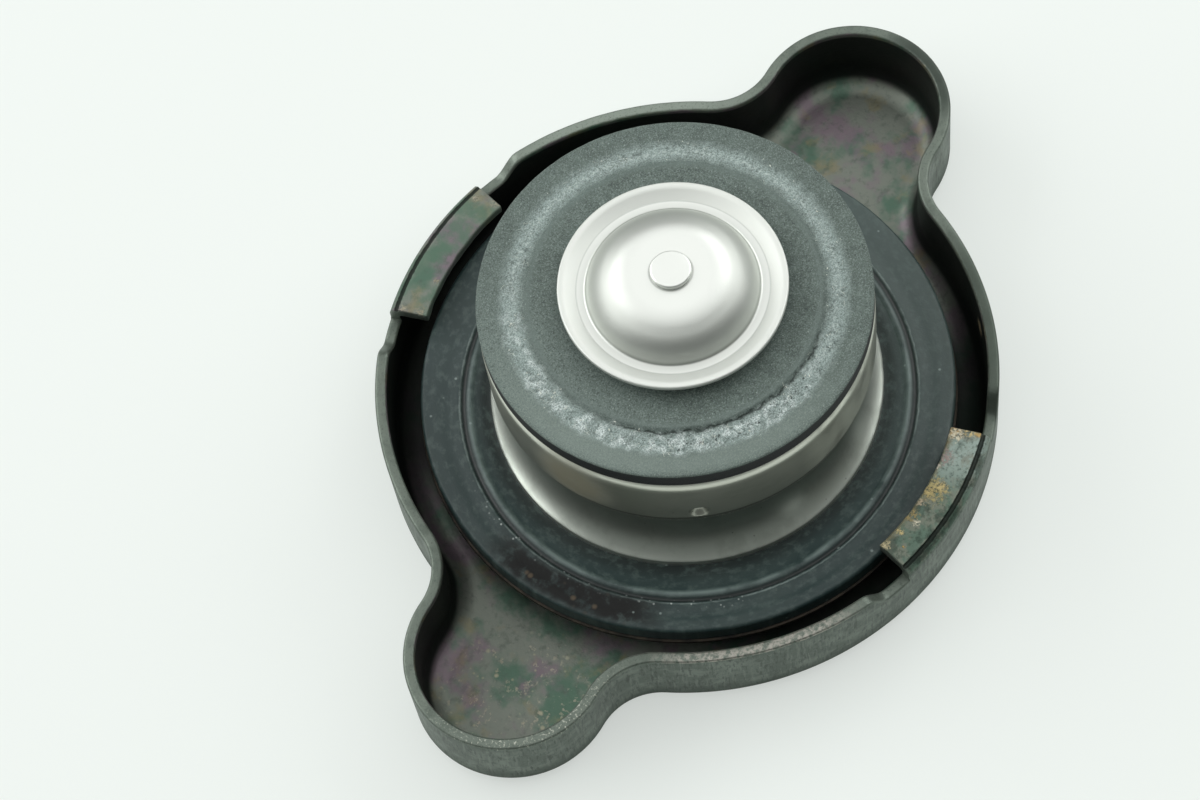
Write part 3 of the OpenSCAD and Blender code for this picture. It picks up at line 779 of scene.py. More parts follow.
def turned(name: str, section: Sequence[Flat], segments: int, warp: Warp | None = None) -> bpy.types.Mesh:
    """Turn a closed section about the axis.

    Args:
        name: The mesh's name.
        section: Radius and height of each point; a point on the axis becomes a pole.
        segments: Steps round the axis.
        warp: Moves a point, given as radius, turn and height.

    Returns:
        The closed mesh.
    """
    points: list[Solid] = []
    rows: list[list[int]] = []
    for r, z in section:
        if r < AXIS_R:
            points.append((0.0, 0.0, z))
            rows.append([len(points) - 1] * segments)
            continue
        row = []
        for k in range(segments):
            turn = 2 * math.pi * k / segments
            q, t, h = warp(r, turn, z) if warp else (r, turn, z)
            points.append((q * math.cos(t), q * math.sin(t), h))
            row.append(len(points) - 1)
        rows.append(row)
    faces: list[list[int]] = []
    for low, high in zip(rows, rows[1:] + rows[:1]):
        for k in range(segments):
            n = (k + 1) % segments
            ring = list(dict.fromkeys((low[k], low[n], high[n], high[k])))
            if len(ring) > 2:
                faces.append(ring)
    return mesh_of(name, points, faces)


def place(
    mesh: bpy.types.Mesh, finish: Finish, body: Body, nodes: Sequence[str] = (),
) -> bpy.types.Object:
    """Put a finished mesh into the scene.

    Args:
        mesh: The mesh, which gives the piece its name.
        finish: Its material.
        body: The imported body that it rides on.
        nodes: CAD nodes that it stands for.

    Returns:
        The piece.
    """
    piece = bpy.data.objects.new(mesh.name, mesh)
    bpy.context.scene.collection.objects.link(piece)
    mesh.materials.clear()
    mesh.materials.append(finish.material())
    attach(piece, body.value)
    if nodes:
        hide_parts(*nodes)
    LOG.info("%s: %d faces", piece.name, len(mesh.polygons))
    return piece


@dataclass(frozen=True)
class Scatter:
    """Small bits that Geometry Nodes strews over a piece, where one of its attributes says."""

    name: str
    mark: str
    finish: Finish
    per_mm2: float
    length: float
    thickness: float
    lean: float
    seed: int
    bow: float = 0.3
    arch: float = 0.2
    smallest: float = 0.35
    joints: int = 5
    sides: int = 4

    def tree(self) -> bpy.types.NodeTree:
        """Build the node tree, whose inputs are the host, its mark, the density and the seed.

        Returns:
            The tree.
        """
        tree = bpy.data.node_groups.new(self.name, "GeometryNodeTree")
        sockets = {"Host": "Geometry", "Where": "Float", "Density": "Float", "Seed": "Int"}
        for name, kind in sockets.items():
            tree.interface.new_socket(name, in_out="INPUT", socket_type=f"NodeSocket{kind}")
        tree.interface.new_socket("Bits", in_out="OUTPUT", socket_type="NodeSocketGeometry")
        put = partial(add, tree)
        given = put("NodeGroupInput").node.outputs
        weight = put("ShaderNodeMath", {0: given["Where"], 1: given["Density"]}, operation="MULTIPLY")
        inputs = {"Mesh": given["Host"], "Density": weight, "Seed": given["Seed"]}
        spread = put("GeometryNodeDistributePointsOnFaces", inputs).node.outputs
        half = self.length / 2 * MM
        inputs = {"Start": (-half, 0, 0), "Middle": (0, self.bow * half, self.arch * half)}
        inputs |= {"End": (half, 0, 0), "Resolution": self.joints}
        line = put("GeometryNodeCurveQuadraticBezier", inputs)
        inputs = {"Resolution": self.sides, "Radius": self.thickness / 2 * MM}
        ring = put("GeometryNodeCurvePrimitiveCircle", inputs)
        bit = put("GeometryNodeCurveToMesh", {"Curve": line, "Profile Curve": ring, "Fill Caps": True})
        lean = self.lean
        inputs = {0: (-lean, -lean, 0), 1: (lean, lean, 2 * math.pi), "Seed": given["Seed"]}
        turn = put("FunctionNodeRandomValue", inputs, data_type="FLOAT_VECTOR")
        inputs = {"Rotation": spread["Rotation"], "Rotate By": turn}
        facing = put("FunctionNodeRotateRotation", inputs, rotation_space="LOCAL")
        inputs = {2: self.smallest, 3: 1.0, "Seed": given["Seed"]}
        scale = put("FunctionNodeRandomValue", inputs, 1, data_type="FLOAT")
        inputs = {"Points": spread["Points"], "Instance": bit, "Rotation": facing, "Scale": scale}
        strewn = put("GeometryNodeInstanceOnPoints", inputs)
        real = put("GeometryNodeRealizeInstances", {0: strewn})
        dressed = put("GeometryNodeSetMaterial", {"Geometry": real, "Material": self.finish.material()})
        put("NodeGroupOutput", {"Bits": dressed})
        return tree

    def build(self, host: bpy.types.Object, body: Body, slot: str) -> None:
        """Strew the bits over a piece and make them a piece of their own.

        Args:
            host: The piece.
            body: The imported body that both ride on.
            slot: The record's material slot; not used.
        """
        work = bpy.data.objects.new(self.name, host.data.copy())
        bpy.context.scene.collection.objects.link(work)
        strew = work.modifiers.new(self.name, "NODES")
        strew.node_group = self.tree()
        items = strew.node_group.interface.items_tree
        names = {item.name: item.identifier for item in items if item.in_out == "INPUT"}
        strew[f"{names['Where']}_use_attribute"] = True
        strew[f"{names['Where']}_attribute_name"] = self.mark
        strew[names["Density"]] = self.per_mm2 / MM**2
        strew[names["Seed"]] = self.seed
        bpy.context.view_layer.update()
        made = bpy.data.meshes.new_from_object(work.evaluated_get(bpy.context.evaluated_depsgraph_get()))
        bpy.data.objects.remove(work)
        made.name = self.name
        place(made, self.finish, body)


class Edge(Enum):
    """How the skirt ends at the top of one column of the shell."""

    RIM = "cut off"
    TANG = "folded in"


@dataclass(frozen=True)
class Column:
    """One step round the shell's outline."""

    centre: Flat
    radius: float
    sense: int
    turn: float
    edge: Edge

    def at(self, depth: float, z: float) -> Solid:
        """Return the place at a depth inside the outline and a height."""
        q = self.radius - self.sense * depth
        return self.centre[0] + q * math.cos(self.turn), self.centre[1] + q * math.sin(self.turn), z


@dataclass(frozen=True)
class Row:
    """One point of the shell's section, with the marks that its finish reads."""

    depth: float
    z: float
    rim: float = 0.0
    outer: float = 0.0
    inside: float = 0.0
    tang: float = 0.0
    score: float = 0.0


@dataclass
class PressedShell:
    """The pressed shell with its ears, folded tangs and rivet well."""

    body_r: float = 28.5
    ear_x: float = 31.3
    ear_r: float = 9.2
    neck_r: float = 5.8
    height: float = 9.0
    sheet: float = 1.05
    bend_r: float = 2.0
    inner_bend: float = 2.3
    edge_r: float = 0.25
    root_z: float = 6.6
    tang_turn: float = 31.0
    tang_in: float = 24.7
    tang_bend: float = 1.3
    relief_w: float = 24.4
    relief_d: float = 1.9
    relief_ramp: float = 2.3
    score_r: float = 0.2
    score_turn: float = 25.0
    well_depth: float = 1.25
    well_r: float = 6.2
    well_flare: float = 1.4
    well_land: float = 2.4
    hole_r: float = 2.06
    # Fillets of the well and of a tang
    mouth_fillet: float = 0.7
    well_fillet: float = 0.5
    hole_fillet: float = 0.1
    tip_fillet: float = 0.2
    root_fillet: float = 0.25
    # How a tang's two ends are drawn in
    end_share: float = 0.006
    end_inset: float = 0.1
    end_low: float = 7.0
    end_high: float = 7.6
    # Wear: the rim's dents as depth, size and seed, and how far each edge is rubbed, from 0 to 1
    dents: tuple[Solid, ...] = ((0.03, 4.0, 0.3), (0.02, 1.0, 5.3))
    tip_wear: float = 0.08
    tip_w: float = 0.5
    rub_reach: float = 1.2
    wall_rub: float = 0.45
    edge_rub: float = 0.9
    inner_rub: float = 0.8
    rub_fade: float = 0.15
    end_rub: float = 0.75
    tip_rub: float = 0.5
    # How far the marks of the scored line and of the tang's own film reach
    score_reach: float = 0.42
    skin: float = 0.7
    # Steps of the mesh
    step: float = 0.42
    bend_steps: int = 12
    inner_steps: int = 10
    wall_steps: int = 5
    edge_steps: int = 4

    def columns(self) -> list[Column]:
        """Step round the outline.

        Returns:
            The steps in order; each one's edge is that of the stretch after it.
        """
        a, b = self.body_r + self.neck_r, self.ear_r + self.neck_r
        nx = (a * a - b * b + self.ear_x**2) / (2 * self.ear_x)
        ny = math.sqrt(a * a - nx * nx)
        low, lean = math.atan2(ny, nx), math.atan2(ny, nx - self.ear_x)
        pi, half = math.pi, math.radians(self.tang_turn / 2)
        found: list[Column] = []
        for side in (0.0, pi):
            flip = 1 if side == 0 else -1
            body, ear = (0.0, 0.0), (-flip * self.ear_x, 0.0)
            arcs = [
                (body, self.body_r, 1, low, pi / 2 - half, Edge.RIM),
                (body, self.body_r, 1, pi / 2 - half, pi / 2 + half, Edge.TANG),
                (body, self.body_r, 1, pi / 2 + half, pi - low, Edge.RIM),
                ((-flip * nx, flip * ny), self.neck_r, -1, -low, -lean, Edge.RIM),
                (ear, self.ear_r, 1, pi - lean, pi + lean, Edge.RIM),
                ((-flip * nx, -flip * ny), self.neck_r, -1, lean, low, Edge.RIM),
            ]
            for centre, radius, sense, start, stop, edge in arcs:
                steps = math.ceil(abs(stop - start) * radius / self.step)
                shares = [k / steps for k in range(steps)]
                if edge is Edge.TANG:
                    shares = [0.0, self.end_share, *shares[1:], 1 - self.end_share]
                for share in shares:
                    turn = side + start + (stop - start) * share
                    found.append(Column(centre, radius, sense, turn, edge))
        return found

    def rim(self, x: float, y: float) -> float:
        """Find the skirt's height at a place on the outline.

        Args:
            x: The place along the ears.
            y: The place along the tangs.

        Returns:
            The height, lower in the reliefs.
        """
        half = self.relief_w / 2
        worn = sum(d * noise.noise(Vector((x / size, y / size, seed))) for d, size, seed in self.dents)
        if abs(y) < self.body_r / 2 or abs(x) >= half:
            return self.height + min(0.0, worn)
        return self.height + worn - self.relief_d * smooth(0, self.relief_ramp, half - abs(x))

    def lower(self) -> list[Row]:
        """Draw the outside of the section, up to where the edges part.

        Returns:
            The rows, from the floor up.
        """
        b, steps = self.bend_r, self.wall_steps
        rows = []
        for k in range(self.bend_steps + 1):
            t = math.pi / 2 * k / self.bend_steps
            rows.append(Row(b - b * math.sin(t), b - b * math.cos(t), outer=1))
        return rows + [Row(0, b + (self.root_z - b) * k / steps, outer=1) for k in range(1, steps + 1)]

    def cut_edge(self, top: float) -> list[Row]:
        """Draw the section of the plain rim.

        Args:
            top: The skirt's height.

        Returns:
            The rows, from outside to inside.
        """
        s, e, root, steps = self.sheet, self.edge_r, self.root_z, self.edge_steps
        rows = []
        for k in range(1, steps + 1):
            z = root + (top - e - root) * k / steps
            rows.append(Row(0, z, smooth(self.rub_reach, 0, top - z) * self.wall_rub, 1))
        for k in range(1, steps + 1):
            t = math.pi / 2 * k / steps
            rows.append(Row(e - e * math.cos(t), top - e + e * math.sin(t), self.edge_rub, 1))
        for k in range(steps + 1):
            t = math.pi / 2 * k / steps
            rub = self.inner_rub - self.rub_fade * k
            rows.append(Row(s - e + e * math.sin(t), top - e + e * math.cos(t), rub))
        return rows + [Row(s, top - e + (root - top + e) * k / steps, inside=1) for k in range(1, steps)]

    def folded_edge(self, turn: float, inset: float) -> list[Row]:
        """Draw the section of a tang, drawn in a little at its ends.

        Args:
            turn: The column's turn about the axis.
            inset: How far this column is drawn in.

        Returns:
            The rows, from outside to inside.
        """
        s, top, bend = self.sheet, self.height, self.tang_bend
        deep = self.body_r - self.tang_in
        corners = [
            Corner(0, self.root_z),
            Corner(0, top, bend),
            Corner(deep, top, self.tip_fillet),
            Corner(deep, top - s, self.tip_fillet),
            Corner(s, top - s, self.root_fillet),
            Corner(s, self.root_z),
        ]
        path = rounded(corners, closed=False, arc_step=0.05, line_step=0.25)
        lean = math.radians(self.score_turn)
        fold = Vector((bend, top - bend))
        score = fold + bend * Vector((-math.sin(lean), math.cos(lean)))
        rows = []
        for before, at, after in zip(path, path[1:], path[2:]):
            here = Vector(at)
            along = (Vector(after) - Vector(before)).normalized()
            cut = math.sqrt(max(0.0, self.score_r**2 - (here - score).length_squared))
            tip = smooth(deep - self.tip_w, deep, here.x)
            end = inset * smooth(self.end_low, self.end_high, here.y)
            moved = here + end * Vector((along.y, -along.x))
            moved -= cut * (here - fold).normalized()
            moved.x += self.tip_wear * tip * noise.noise(Vector((turn * 18, 0.5, here.y)))
            rubbed = self.tip_rub * smooth(deep - 0.3, deep - 0.05, here.x)
            rubbed = max(self.end_rub * float(inset > 0), rubbed)
            outside = float(here.x < 0.4 and here.y < top - 0.45)
            inside = float(here.x > 0.6 and here.y < top - s + 0.1)
            groove = smooth(self.score_reach, 0.1, (here - score).length)
            tang = float(here.y > top - self.skin)
            rows.append(Row(moved.x, moved.y, rubbed, outside, inside, tang, groove))
        return rows

    def upper(self) -> list[Row]:
        """Draw the inside of the section, from where the edges meet.

        Returns:
            The rows, from the top down.
        """
        b, s, root, steps = self.inner_bend, self.sheet, self.root_z, self.wall_steps
        rows = [Row(s, root + (s + b - root) * k / steps, inside=1) for k in range(steps + 1)]
        for k in range(1, self.inner_steps + 1):
            t = math.pi / 2 * k / self.inner_steps
            rows.append(Row(s + b - b * math.cos(t), s + b - b * math.sin(t), inside=smooth(1.1, 0.3, t)))
        return rows

    def floor(self) -> list[Flat]:
        """Draw the section of the floor round the well.

        Returns:
            The points, from its upper to its lower side.
        """
        k = self.well_flare / self.well_depth
        shift = self.sheet * (math.sqrt(1 + k * k) - k)
        mouth, top = self.well_r + self.well_flare, self.well_depth + self.sheet
        corners = [
            Corner(mouth + self.well_land, self.sheet),
            Corner(mouth + shift, self.sheet, self.mouth_fillet),
            Corner(self.well_r + shift, top, self.well_fillet),
            Corner(self.hole_r, top, self.hole_fillet),
            Corner(self.hole_r, self.well_depth, self.hole_fillet),
            Corner(self.well_r, self.well_depth, self.well_fillet),
            Corner(mouth, 0.0, self.mouth_fillet),
            Corner(mouth + self.well_land, 0.0),
        ]
        return rounded(corners, closed=False, arc_step=0.2)

    def build(self) -> None:
        """Make the shell and put it in place of its CAD node."""
        points: list[Solid] = []
        rows: list[Row] = []
        floor, columns = self.floor(), self.columns()
        paths: list[dict[Edge, list[int]]] = []
        faces: list[list[int]] = []

        def lay(column: Column, stretch: Sequence[Row]) -> list[int]:
            """Add the points of part of a column's section.

            Args:
                column: The column.
                stretch: The rows of that part.

            Returns:
                The new points' numbers.
            """
            rows.extend(stretch)
            points.extend(column.at(row.depth, row.z) for row in stretch)
            return list(range(len(points) - len(stretch), len(points)))

        for i, column in enumerate(columns):
            x, y, _ = column.at(0, 0)
            base = lay(column, self.lower())
            edges = {column.edge, columns[i - 1].edge}
            rest = lay(column, self.upper())
            turn = math.atan2(y, x)
            rows.extend(Row(0, z, outer=float(z < 0.6)) for _, z in floor)
            points.extend((r * math.cos(turn), r * math.sin(turn), z) for r, z in floor)
            rest += range(len(points) - len(floor), len(points))
            found: dict[Edge, list[int]] = {}
            if Edge.RIM in edges:
                found[Edge.RIM] = lay(column, self.cut_edge(self.rim(x, y)))
            if Edge.TANG in edges:
                inset = self.end_inset if len(edges) > 1 else 0.0
                found[Edge.TANG] = lay(column, self.folded_edge(turn, inset))
            if len(edges) > 1:
                faces.append([base[-1], *found[Edge.RIM], rest[0], *reversed(found[Edge.TANG])])
            paths.append({edge: base + top + rest for edge, top in found.items()})
        for i, column in enumerate(columns):
            here, after = paths[i][column.edge], paths[(i + 1) % len(columns)][column.edge]
            for k, start in enumerate(here):
                n = (k + 1) % len(here)
                faces.append([start, after[k], after[n], here[n]])
        names = ("rim", "outer", "inside", "tang", "score")
        marks = {name: [getattr(row, name) for row in rows] for name in names}
        mesh = mesh_of("shell_pressing", points, faces, marks)
        place(mesh, CHROMATE_SHELL, Body.SHELL, ["cap_shell"])


@dataclass
class NeckSeal:
    """The spring disc and the rubber gasket on it."""

    # The disc
    disc_r: float = 24.8
    disc_bore: float = 2.05
    disc_z: float = 2.35
    disc_t: float = 0.4
    disc_step: float = 15.3
    disc_slope: float = 1.3
    fold_out: float = 0.6
    fold_in: float = 0.4
    disc_edge: float = 0.08
    disc_segments: int = 240
    rim_z: float = 4.6
    # The gasket and the ring pressed into it
    bore: float = 15.3
    gasket_r: float = 24.6
    foot_r: float = 18.15
    foot_z: float = 6.15
    land_z: float = 6.55
    ridge_r: float = 20.15
    ridge_w: float = 0.3
    gasket_gap: float = 0.05
    # Its fillets
    bore_edge: float = 0.1
    under_edge: float = 0.15
    over_edge: float = 0.4
    groove_out: float = 0.2
    groove_fillet: float = 0.25
    crest_foot: float = 0.1
    crest_fillet: float = 0.25
    crest_root: float = 0.3
    foot_fillet: float = 0.4
    # How its face swells and sinks, and between which radii the ring is off the axis
    swell_r: float = 18.0
    swell_h: float = 0.05
    swell_turns: float = 2.6
    sink: Dents = Dents(0.03, 3.5, 4.0)
    sway: Dents = Dents(0.02, 5.0)
    hold_in: float = 19.6
    hold_out: float = 22.0
    gasket_segments: int = 480

    def disc(self) -> None:
        """Make the stepped spring disc."""
        low, lean, t = self.rim_z - self.disc_t, self.disc_t / 2, self.disc_t
        out = self.disc_step + self.disc_slope
        corners = [
            Corner(self.disc_bore, self.disc_z),
            Corner(self.disc_step, self.disc_z, self.fold_out),
            Corner(out, low, self.fold_in),
            Corner(self.disc_r, low, self.disc_edge),
            Corner(self.disc_r, self.rim_z, self.disc_edge),
            Corner(out - lean, self.rim_z, self.fold_out),
            Corner(self.disc_step - lean, self.disc_z + t, self.fold_in),
            Corner(self.disc_bore, self.disc_z + t),
        ]
        mesh = turned("spring_disc", rounded(corners, closed=True), self.disc_segments)
        place(mesh, SPRING_STEEL, Body.CORE, ["seal_spring_disc"])

    def gasket(self) -> None:
        """Make the gasket with the ring that the filler neck has pressed into it, off the axis."""
        ridge, w, land, bore = self.ridge_r, self.ridge_w, self.land_z, self.bore + self.gasket_gap
        corners = [
            Corner(bore, self.rim_z, self.bore_edge),
            Corner(self.gasket_r, self.rim_z, self.under_edge),
            Corner(self.gasket_r, land, self.over_edge),
            Corner(ridge + 3 * w, land, self.groove_out),
            Corner(ridge + 2 * w, land - w, self.groove_fillet),
            Corner(ridge + w, land, self.crest_foot),
            Corner(ridge, land + 0.7 * w, self.crest_fillet),
            Corner(ridge - 1.2 * w, land, self.crest_root),
            Corner(self.foot_r, self.foot_z, self.foot_fillet),
            Corner(bore, self.foot_z, self.bore_edge),
        ]
        shift, lean = math.hypot(PRESSED[0], PRESSED[1]), math.atan2(PRESSED[1], PRESSED[0])

        def pressed(r: float, turn: float, z: float) -> Solid:
            """Push the ring off the axis and let the moulded face swell and sink a little.

            Args:
                r: Radius.
                turn: Turn about the axis.
                z: Height.

            Returns:
                The moved radius, turn and height.
            """
            if z < self.foot_z - 0.4:
                return r, turn, z
            hold = smooth(self.foot_r + 0.2, self.hold_in, r)
            hold *= smooth(self.gasket_r - 0.3, self.hold_out, r)
            off = shift * math.cos(turn - lean) * hold
            swell = self.swell_h * math.sin((r - self.swell_r) * self.swell_turns)
            swell *= smooth(self.swell_r + 0.4, self.swell_r + 1.0, r)
            sink = self.sink.at(r, turn, z)
            return r + off + self.sway.at(r, turn, z), turn, z + swell * hold + sink

        section = rounded(corners, closed=True, arc_step=0.1, line_step=0.25)
        mesh = turned("gasket_ring", section, self.gasket_segments, pressed)
        place(mesh, GASKET_RUBBER, Body.CORE, ["neck_gasket"])

    def build(self) -> None:
        """Make both pieces."""
        self.disc()
        self.gasket()


@dataclass
class Bell:
    """The flared sleeve round the pressure spring."""

    wall_r: float = 15.6
    flare_r: float = 6.0
    flare_w: float = 2.45
    sheet: float = 0.7
    foot_z: float = 6.15
    lip_z: float = 18.2
    lip_r: float = 16.3
    # Fillets of foot and lip
    foot_under: float = 0.05
    foot_over: float = 0.12
    lip_bend: float = 0.4
    lip_turn: float = 1.1
    lip_under: float = 0.15
    lip_over: float = 0.25
    # Burrs and nicks of the trimmed foot
    burr: Dents = Dents(0.04, 1.1)
    nick: Dents = Dents(1.0, 2.3, 7.0)
    nick_depth: float = 0.05
    burr_w: float = 0.25
    # Steps of the mesh
    flare_steps: int = 24
    segments: int = 480

    def drop(self) -> float:
        """Return how far the flare falls from the wall to the foot's lower side."""
        return self.sheet + math.sqrt(self.flare_r**2 - (self.flare_r - self.flare_w) ** 2)

    def flare(self, depth: float, reach: float) -> list[Corner]:
        """Draw the flare's curve from the wall down.

        Args:
            depth: How deep in the sheet the curve lies.
            reach: The angle that it runs over.

        Returns:
            Its corners.
        """
        radius = self.flare_r + depth
        angles = [reach * k / self.flare_steps for k in range(self.flare_steps + 1)]
        x, z = self.wall_r + self.flare_r, self.foot_z + self.drop()
        return [Corner(x - radius * math.cos(a), z - radius * math.sin(a)) for a in angles]

    def build(self) -> None:
        """Make the sleeve, with the small burrs of its trimmed foot."""
        t, low, top = self.sheet, self.foot_z, self.lip_z
        foot = self.wall_r + self.flare_w
        upper = self.flare(0.0, math.acos(1 - self.flare_w / self.flare_r))[:-1]
        lower = self.flare(t, math.asin(self.drop() / (self.flare_r + t)))
        corners = [
            Corner(foot, low, self.foot_under),
            Corner(foot, low + t, self.foot_over),
            *reversed(upper),
            Corner(self.wall_r, top - t, self.lip_bend),
            Corner(self.lip_r, top - t, self.lip_under),
            Corner(self.lip_r, top, self.lip_over),
            Corner(self.wall_r - t, top, self.lip_turn),
            *lower,
        ]

        def trimmed(r: float, turn: float, z: float) -> Solid:
            """Roughen the trimmed edge of the foot.

            Args:
                r: Radius.
                turn: Turn about the axis.
                z: Height.

            Returns:
                The moved radius, turn and height.
            """
            reach = smooth(foot - self.burr_w, foot, r)
            nick = self.nick_depth * max(0.0, self.nick.at(r, turn, z) - 0.3)
            return r + min(0.0, reach * (self.burr.at(r, turn, z) - nick)), turn, z

        section = rounded(corners, closed=True, line_step=1.0)
        mesh = turned("bell_sleeve", section, self.segments, trimmed)
        place(mesh, BELL_PLATE, Body.CORE, ["spring_bell"])


@dataclass
class PressureValve:
    """The valve cup and the rubber seal that it carries."""

    # The cup
    cup_r: float = 17.5
    cup_t: float = 0.8
    cup_bend: float = 1.2
    cup_top: float = 22.2
    cup_foot: float = 14.4
    crimp_h: float = 1.2
    crimp_in: float = 0.3
    bore: float = 4.9
    dimple_z: float = 16.45
    dimple_r: float = 0.95
    dimple_d: float = 0.6
    dimple_turn: float = -144.0
    dimples: int = 3
    # Its fillets and unevenness
    inner_bend: float = 0.4
    crimp_bend: float = 0.8
    foot_in: float = 0.1
    foot_out: float = 0.12
    sheared: Dents = Dents(0.09, 1.8)
    sheared_h: float = 0.5
    out_of_round: Dents = Dents(0.02, 4.0)
    cup_segments: int = 640
    # The seal
    seal_r: float = 17.45
    seal_edge: float = 24.0
    seal_mid: float = 24.4
    wear_in: float = 13.0
    wear_out: float = 15.4
    lip_in: float = 7.8
    lip_out: float = 8.4
    lip_top: float = 25.05
    lip_lean: float = 0.2
    lip_fillet: float = 0.1
    seal_foot: float = 0.1
    seal_corner: float = 0.15
    # The worn ring and how the seat has torn it
    wear_h: float = 0.1
    wear_slope: float = 0.4
    wear_rise: float = 0.04
    wear_fillet: float = 0.3
    worn_turn: float = -165.0
    torn_patch: Dents = Dents(1.0, 1.3, 2.0)
    torn: Dents = Dents(0.06, 0.45)
    torn_fine: Dents = Dents(0.03, 0.22, 3.0)
    uneven: Dents = Dents(0.012, 1.6, 9.0)
    ragged: Dents = Dents(0.03, 0.9, 5.0)
    seal_segments: int = 800

    def cup(self) -> None:
        """Make the drawn cup with its crimped, sheared edge and its dimples."""
        r, t, top, foot = self.cup_r, self.cup_t, self.cup_top, self.cup_foot
        crimp = foot + self.crimp_h
        corners = [
            Corner(r - t - 1.0, top - t),
            Corner(r - t, top - t, self.inner_bend),
            Corner(r - t, crimp, self.crimp_bend),
            Corner(r - t - self.crimp_in, foot, self.foot_in),
            Corner(r - self.crimp_in, foot, self.foot_out),
            Corner(r, crimp, self.crimp_bend),
            Corner(r, top, self.cup_bend),
            Corner(r - 3 * self.cup_bend, top),
        ]
        section = rounded(corners, closed=False, line_step=0.22)
        section += [(self.bore, top), (self.bore, top - t)]

        def drawn(q: float, turn: float, z: float) -> Solid:
            """Punch the dimples and roughen the sheared edge.

            Args:
                q: Radius.
                turn: Turn about the axis.
                z: Height.

            Returns:
                The moved radius, turn and height.
            """
            z += self.sheared.at(q, turn, z) * smooth(foot + self.sheared_h, foot, z)
            if q < r - 2 * t or z > top - 1.5:
                return q, turn, z
            push = 0.0
            for k in range(self.dimples):
                gap = turn - math.radians(self.dimple_turn + 360 / self.dimples * k)
                gap = (gap + math.pi) % (2 * math.pi) - math.pi
                reach = math.hypot(gap * q, z - self.dimple_z) / self.dimple_r
                push = max(push, self.dimple_d * smooth(1.0, 0.35, reach))
            return q - push + self.out_of_round.at(q, turn, z), turn, z

        mesh = turned("valve_cup_shell", section, self.cup_segments, drawn)
        place(mesh, CUP_ZINC, Body.PRESSURE, ["valve_cup"])

    def worn(self, x: float, y: float) -> float:
        """Find how much the seat has torn the seal at a place: most on the near side.

        Args:
            x: The place along the ears.
            y: The place along the tangs.

        Returns:
            A share from 0 to 1.
        """
        r, turn = math.hypot(x, y), math.atan2(y, x)
        ring = smooth(self.wear_in, 13.6, r) * smooth(self.wear_out + 0.4, 15.0, r)
        side = 0.25 + 0.75 * max(0.0, math.cos(turn - math.radians(self.worn_turn)))
        return ring * side * smooth(-0.1, 0.35, self.torn_patch.at(r, turn, 0.0))

    def seal(self) -> bpy.types.Object:
        """Make the rubber disc with its worn ring and the lip under the vacuum valve.

        Returns:
            The piece.
        """
        mid, edge, slope, fillet = self.seal_mid, self.seal_edge, self.wear_slope, self.wear_fillet
        corners = [
            Corner(self.seal_r - 1.0, self.cup_top),
            Corner(self.seal_r, self.cup_top, self.seal_foot),
            Corner(self.seal_r, edge, self.seal_corner),
            Corner(self.wear_out, edge + self.wear_h, fillet),
            Corner(self.wear_out - slope, edge, fillet),
            Corner(self.wear_in + slope, edge + self.wear_h, fillet),
            Corner(self.wear_in, mid + self.wear_rise, fillet),
            Corner(self.lip_out + self.lip_lean, mid, self.lip_lean),
            Corner(self.lip_out, self.lip_top, self.lip_fillet),
            Corner(self.lip_in, self.lip_top, self.lip_fillet),
            Corner(self.lip_in, mid, self.lip_fillet),
            Corner(self.lip_in - 1.0, mid),
        ]
        section = rounded(corners, closed=False, arc_step=0.08, line_step=0.16)
        section += [(self.bore, mid), (self.bore, self.cup_top)]

        def scuffed(r: float, turn: float, z: float) -> Solid:
            """Tear up the worn ring and let the moulded edge run uneven.

            Args:
                r: Radius.
                turn: Turn about the axis.
                z: Height.

            Returns:
                The moved radius, turn and height.
            """
            if z < edge - 0.5:
                return r, turn, z
            ring = smooth(self.wear_in - 0.3, self.wear_in + slope, r)
            ring *= smooth(self.wear_out + 0.3, self.wear_out - slope, r)
            torn = self.torn.at(r, turn, z) + self.torn_fine.at(r, turn, z)
            rough = self.ragged.at(r, turn, z) * smooth(self.seal_r - 0.3, self.seal_r, r)
            return r + min(0.0, rough), turn, z + ring * torn + self.uneven.at(r, turn, z)

        mesh = turned("seal_disc", section, self.seal_segments, scuffed)
        low = (edge - 0.3) * MM
        worn = [self.worn(v.co.x / MM, v.co.y / MM) * float(v.co.z > low) for v in mesh.vertices]
        mesh.attributes.new("worn", "FLOAT", "POINT").data.foreach_set("value", worn)
        return place(mesh, SEAL_RUBBER, Body.PRESSURE, ["pressure_seal"])

    def build(self) -> None:
        """Make both pieces and strew the torn rubber."""
        self.cup()
        seal = self.seal()
        torn = partial(Scatter, mark="worn", finish=TORN_RUBBER)
        threads = torn("seal_threads", per_mm2=4.0, length=0.8, thickness=0.022, lean=0.3, seed=3)
        crumbs = torn("seal_crumbs", per_mm2=3.0, length=0.22, thickness=0.1, lean=0.8, seed=8)
        for scatter in (threads, crumbs):
            scatter.build(seal, Body.PRESSURE, "seal_rubber")


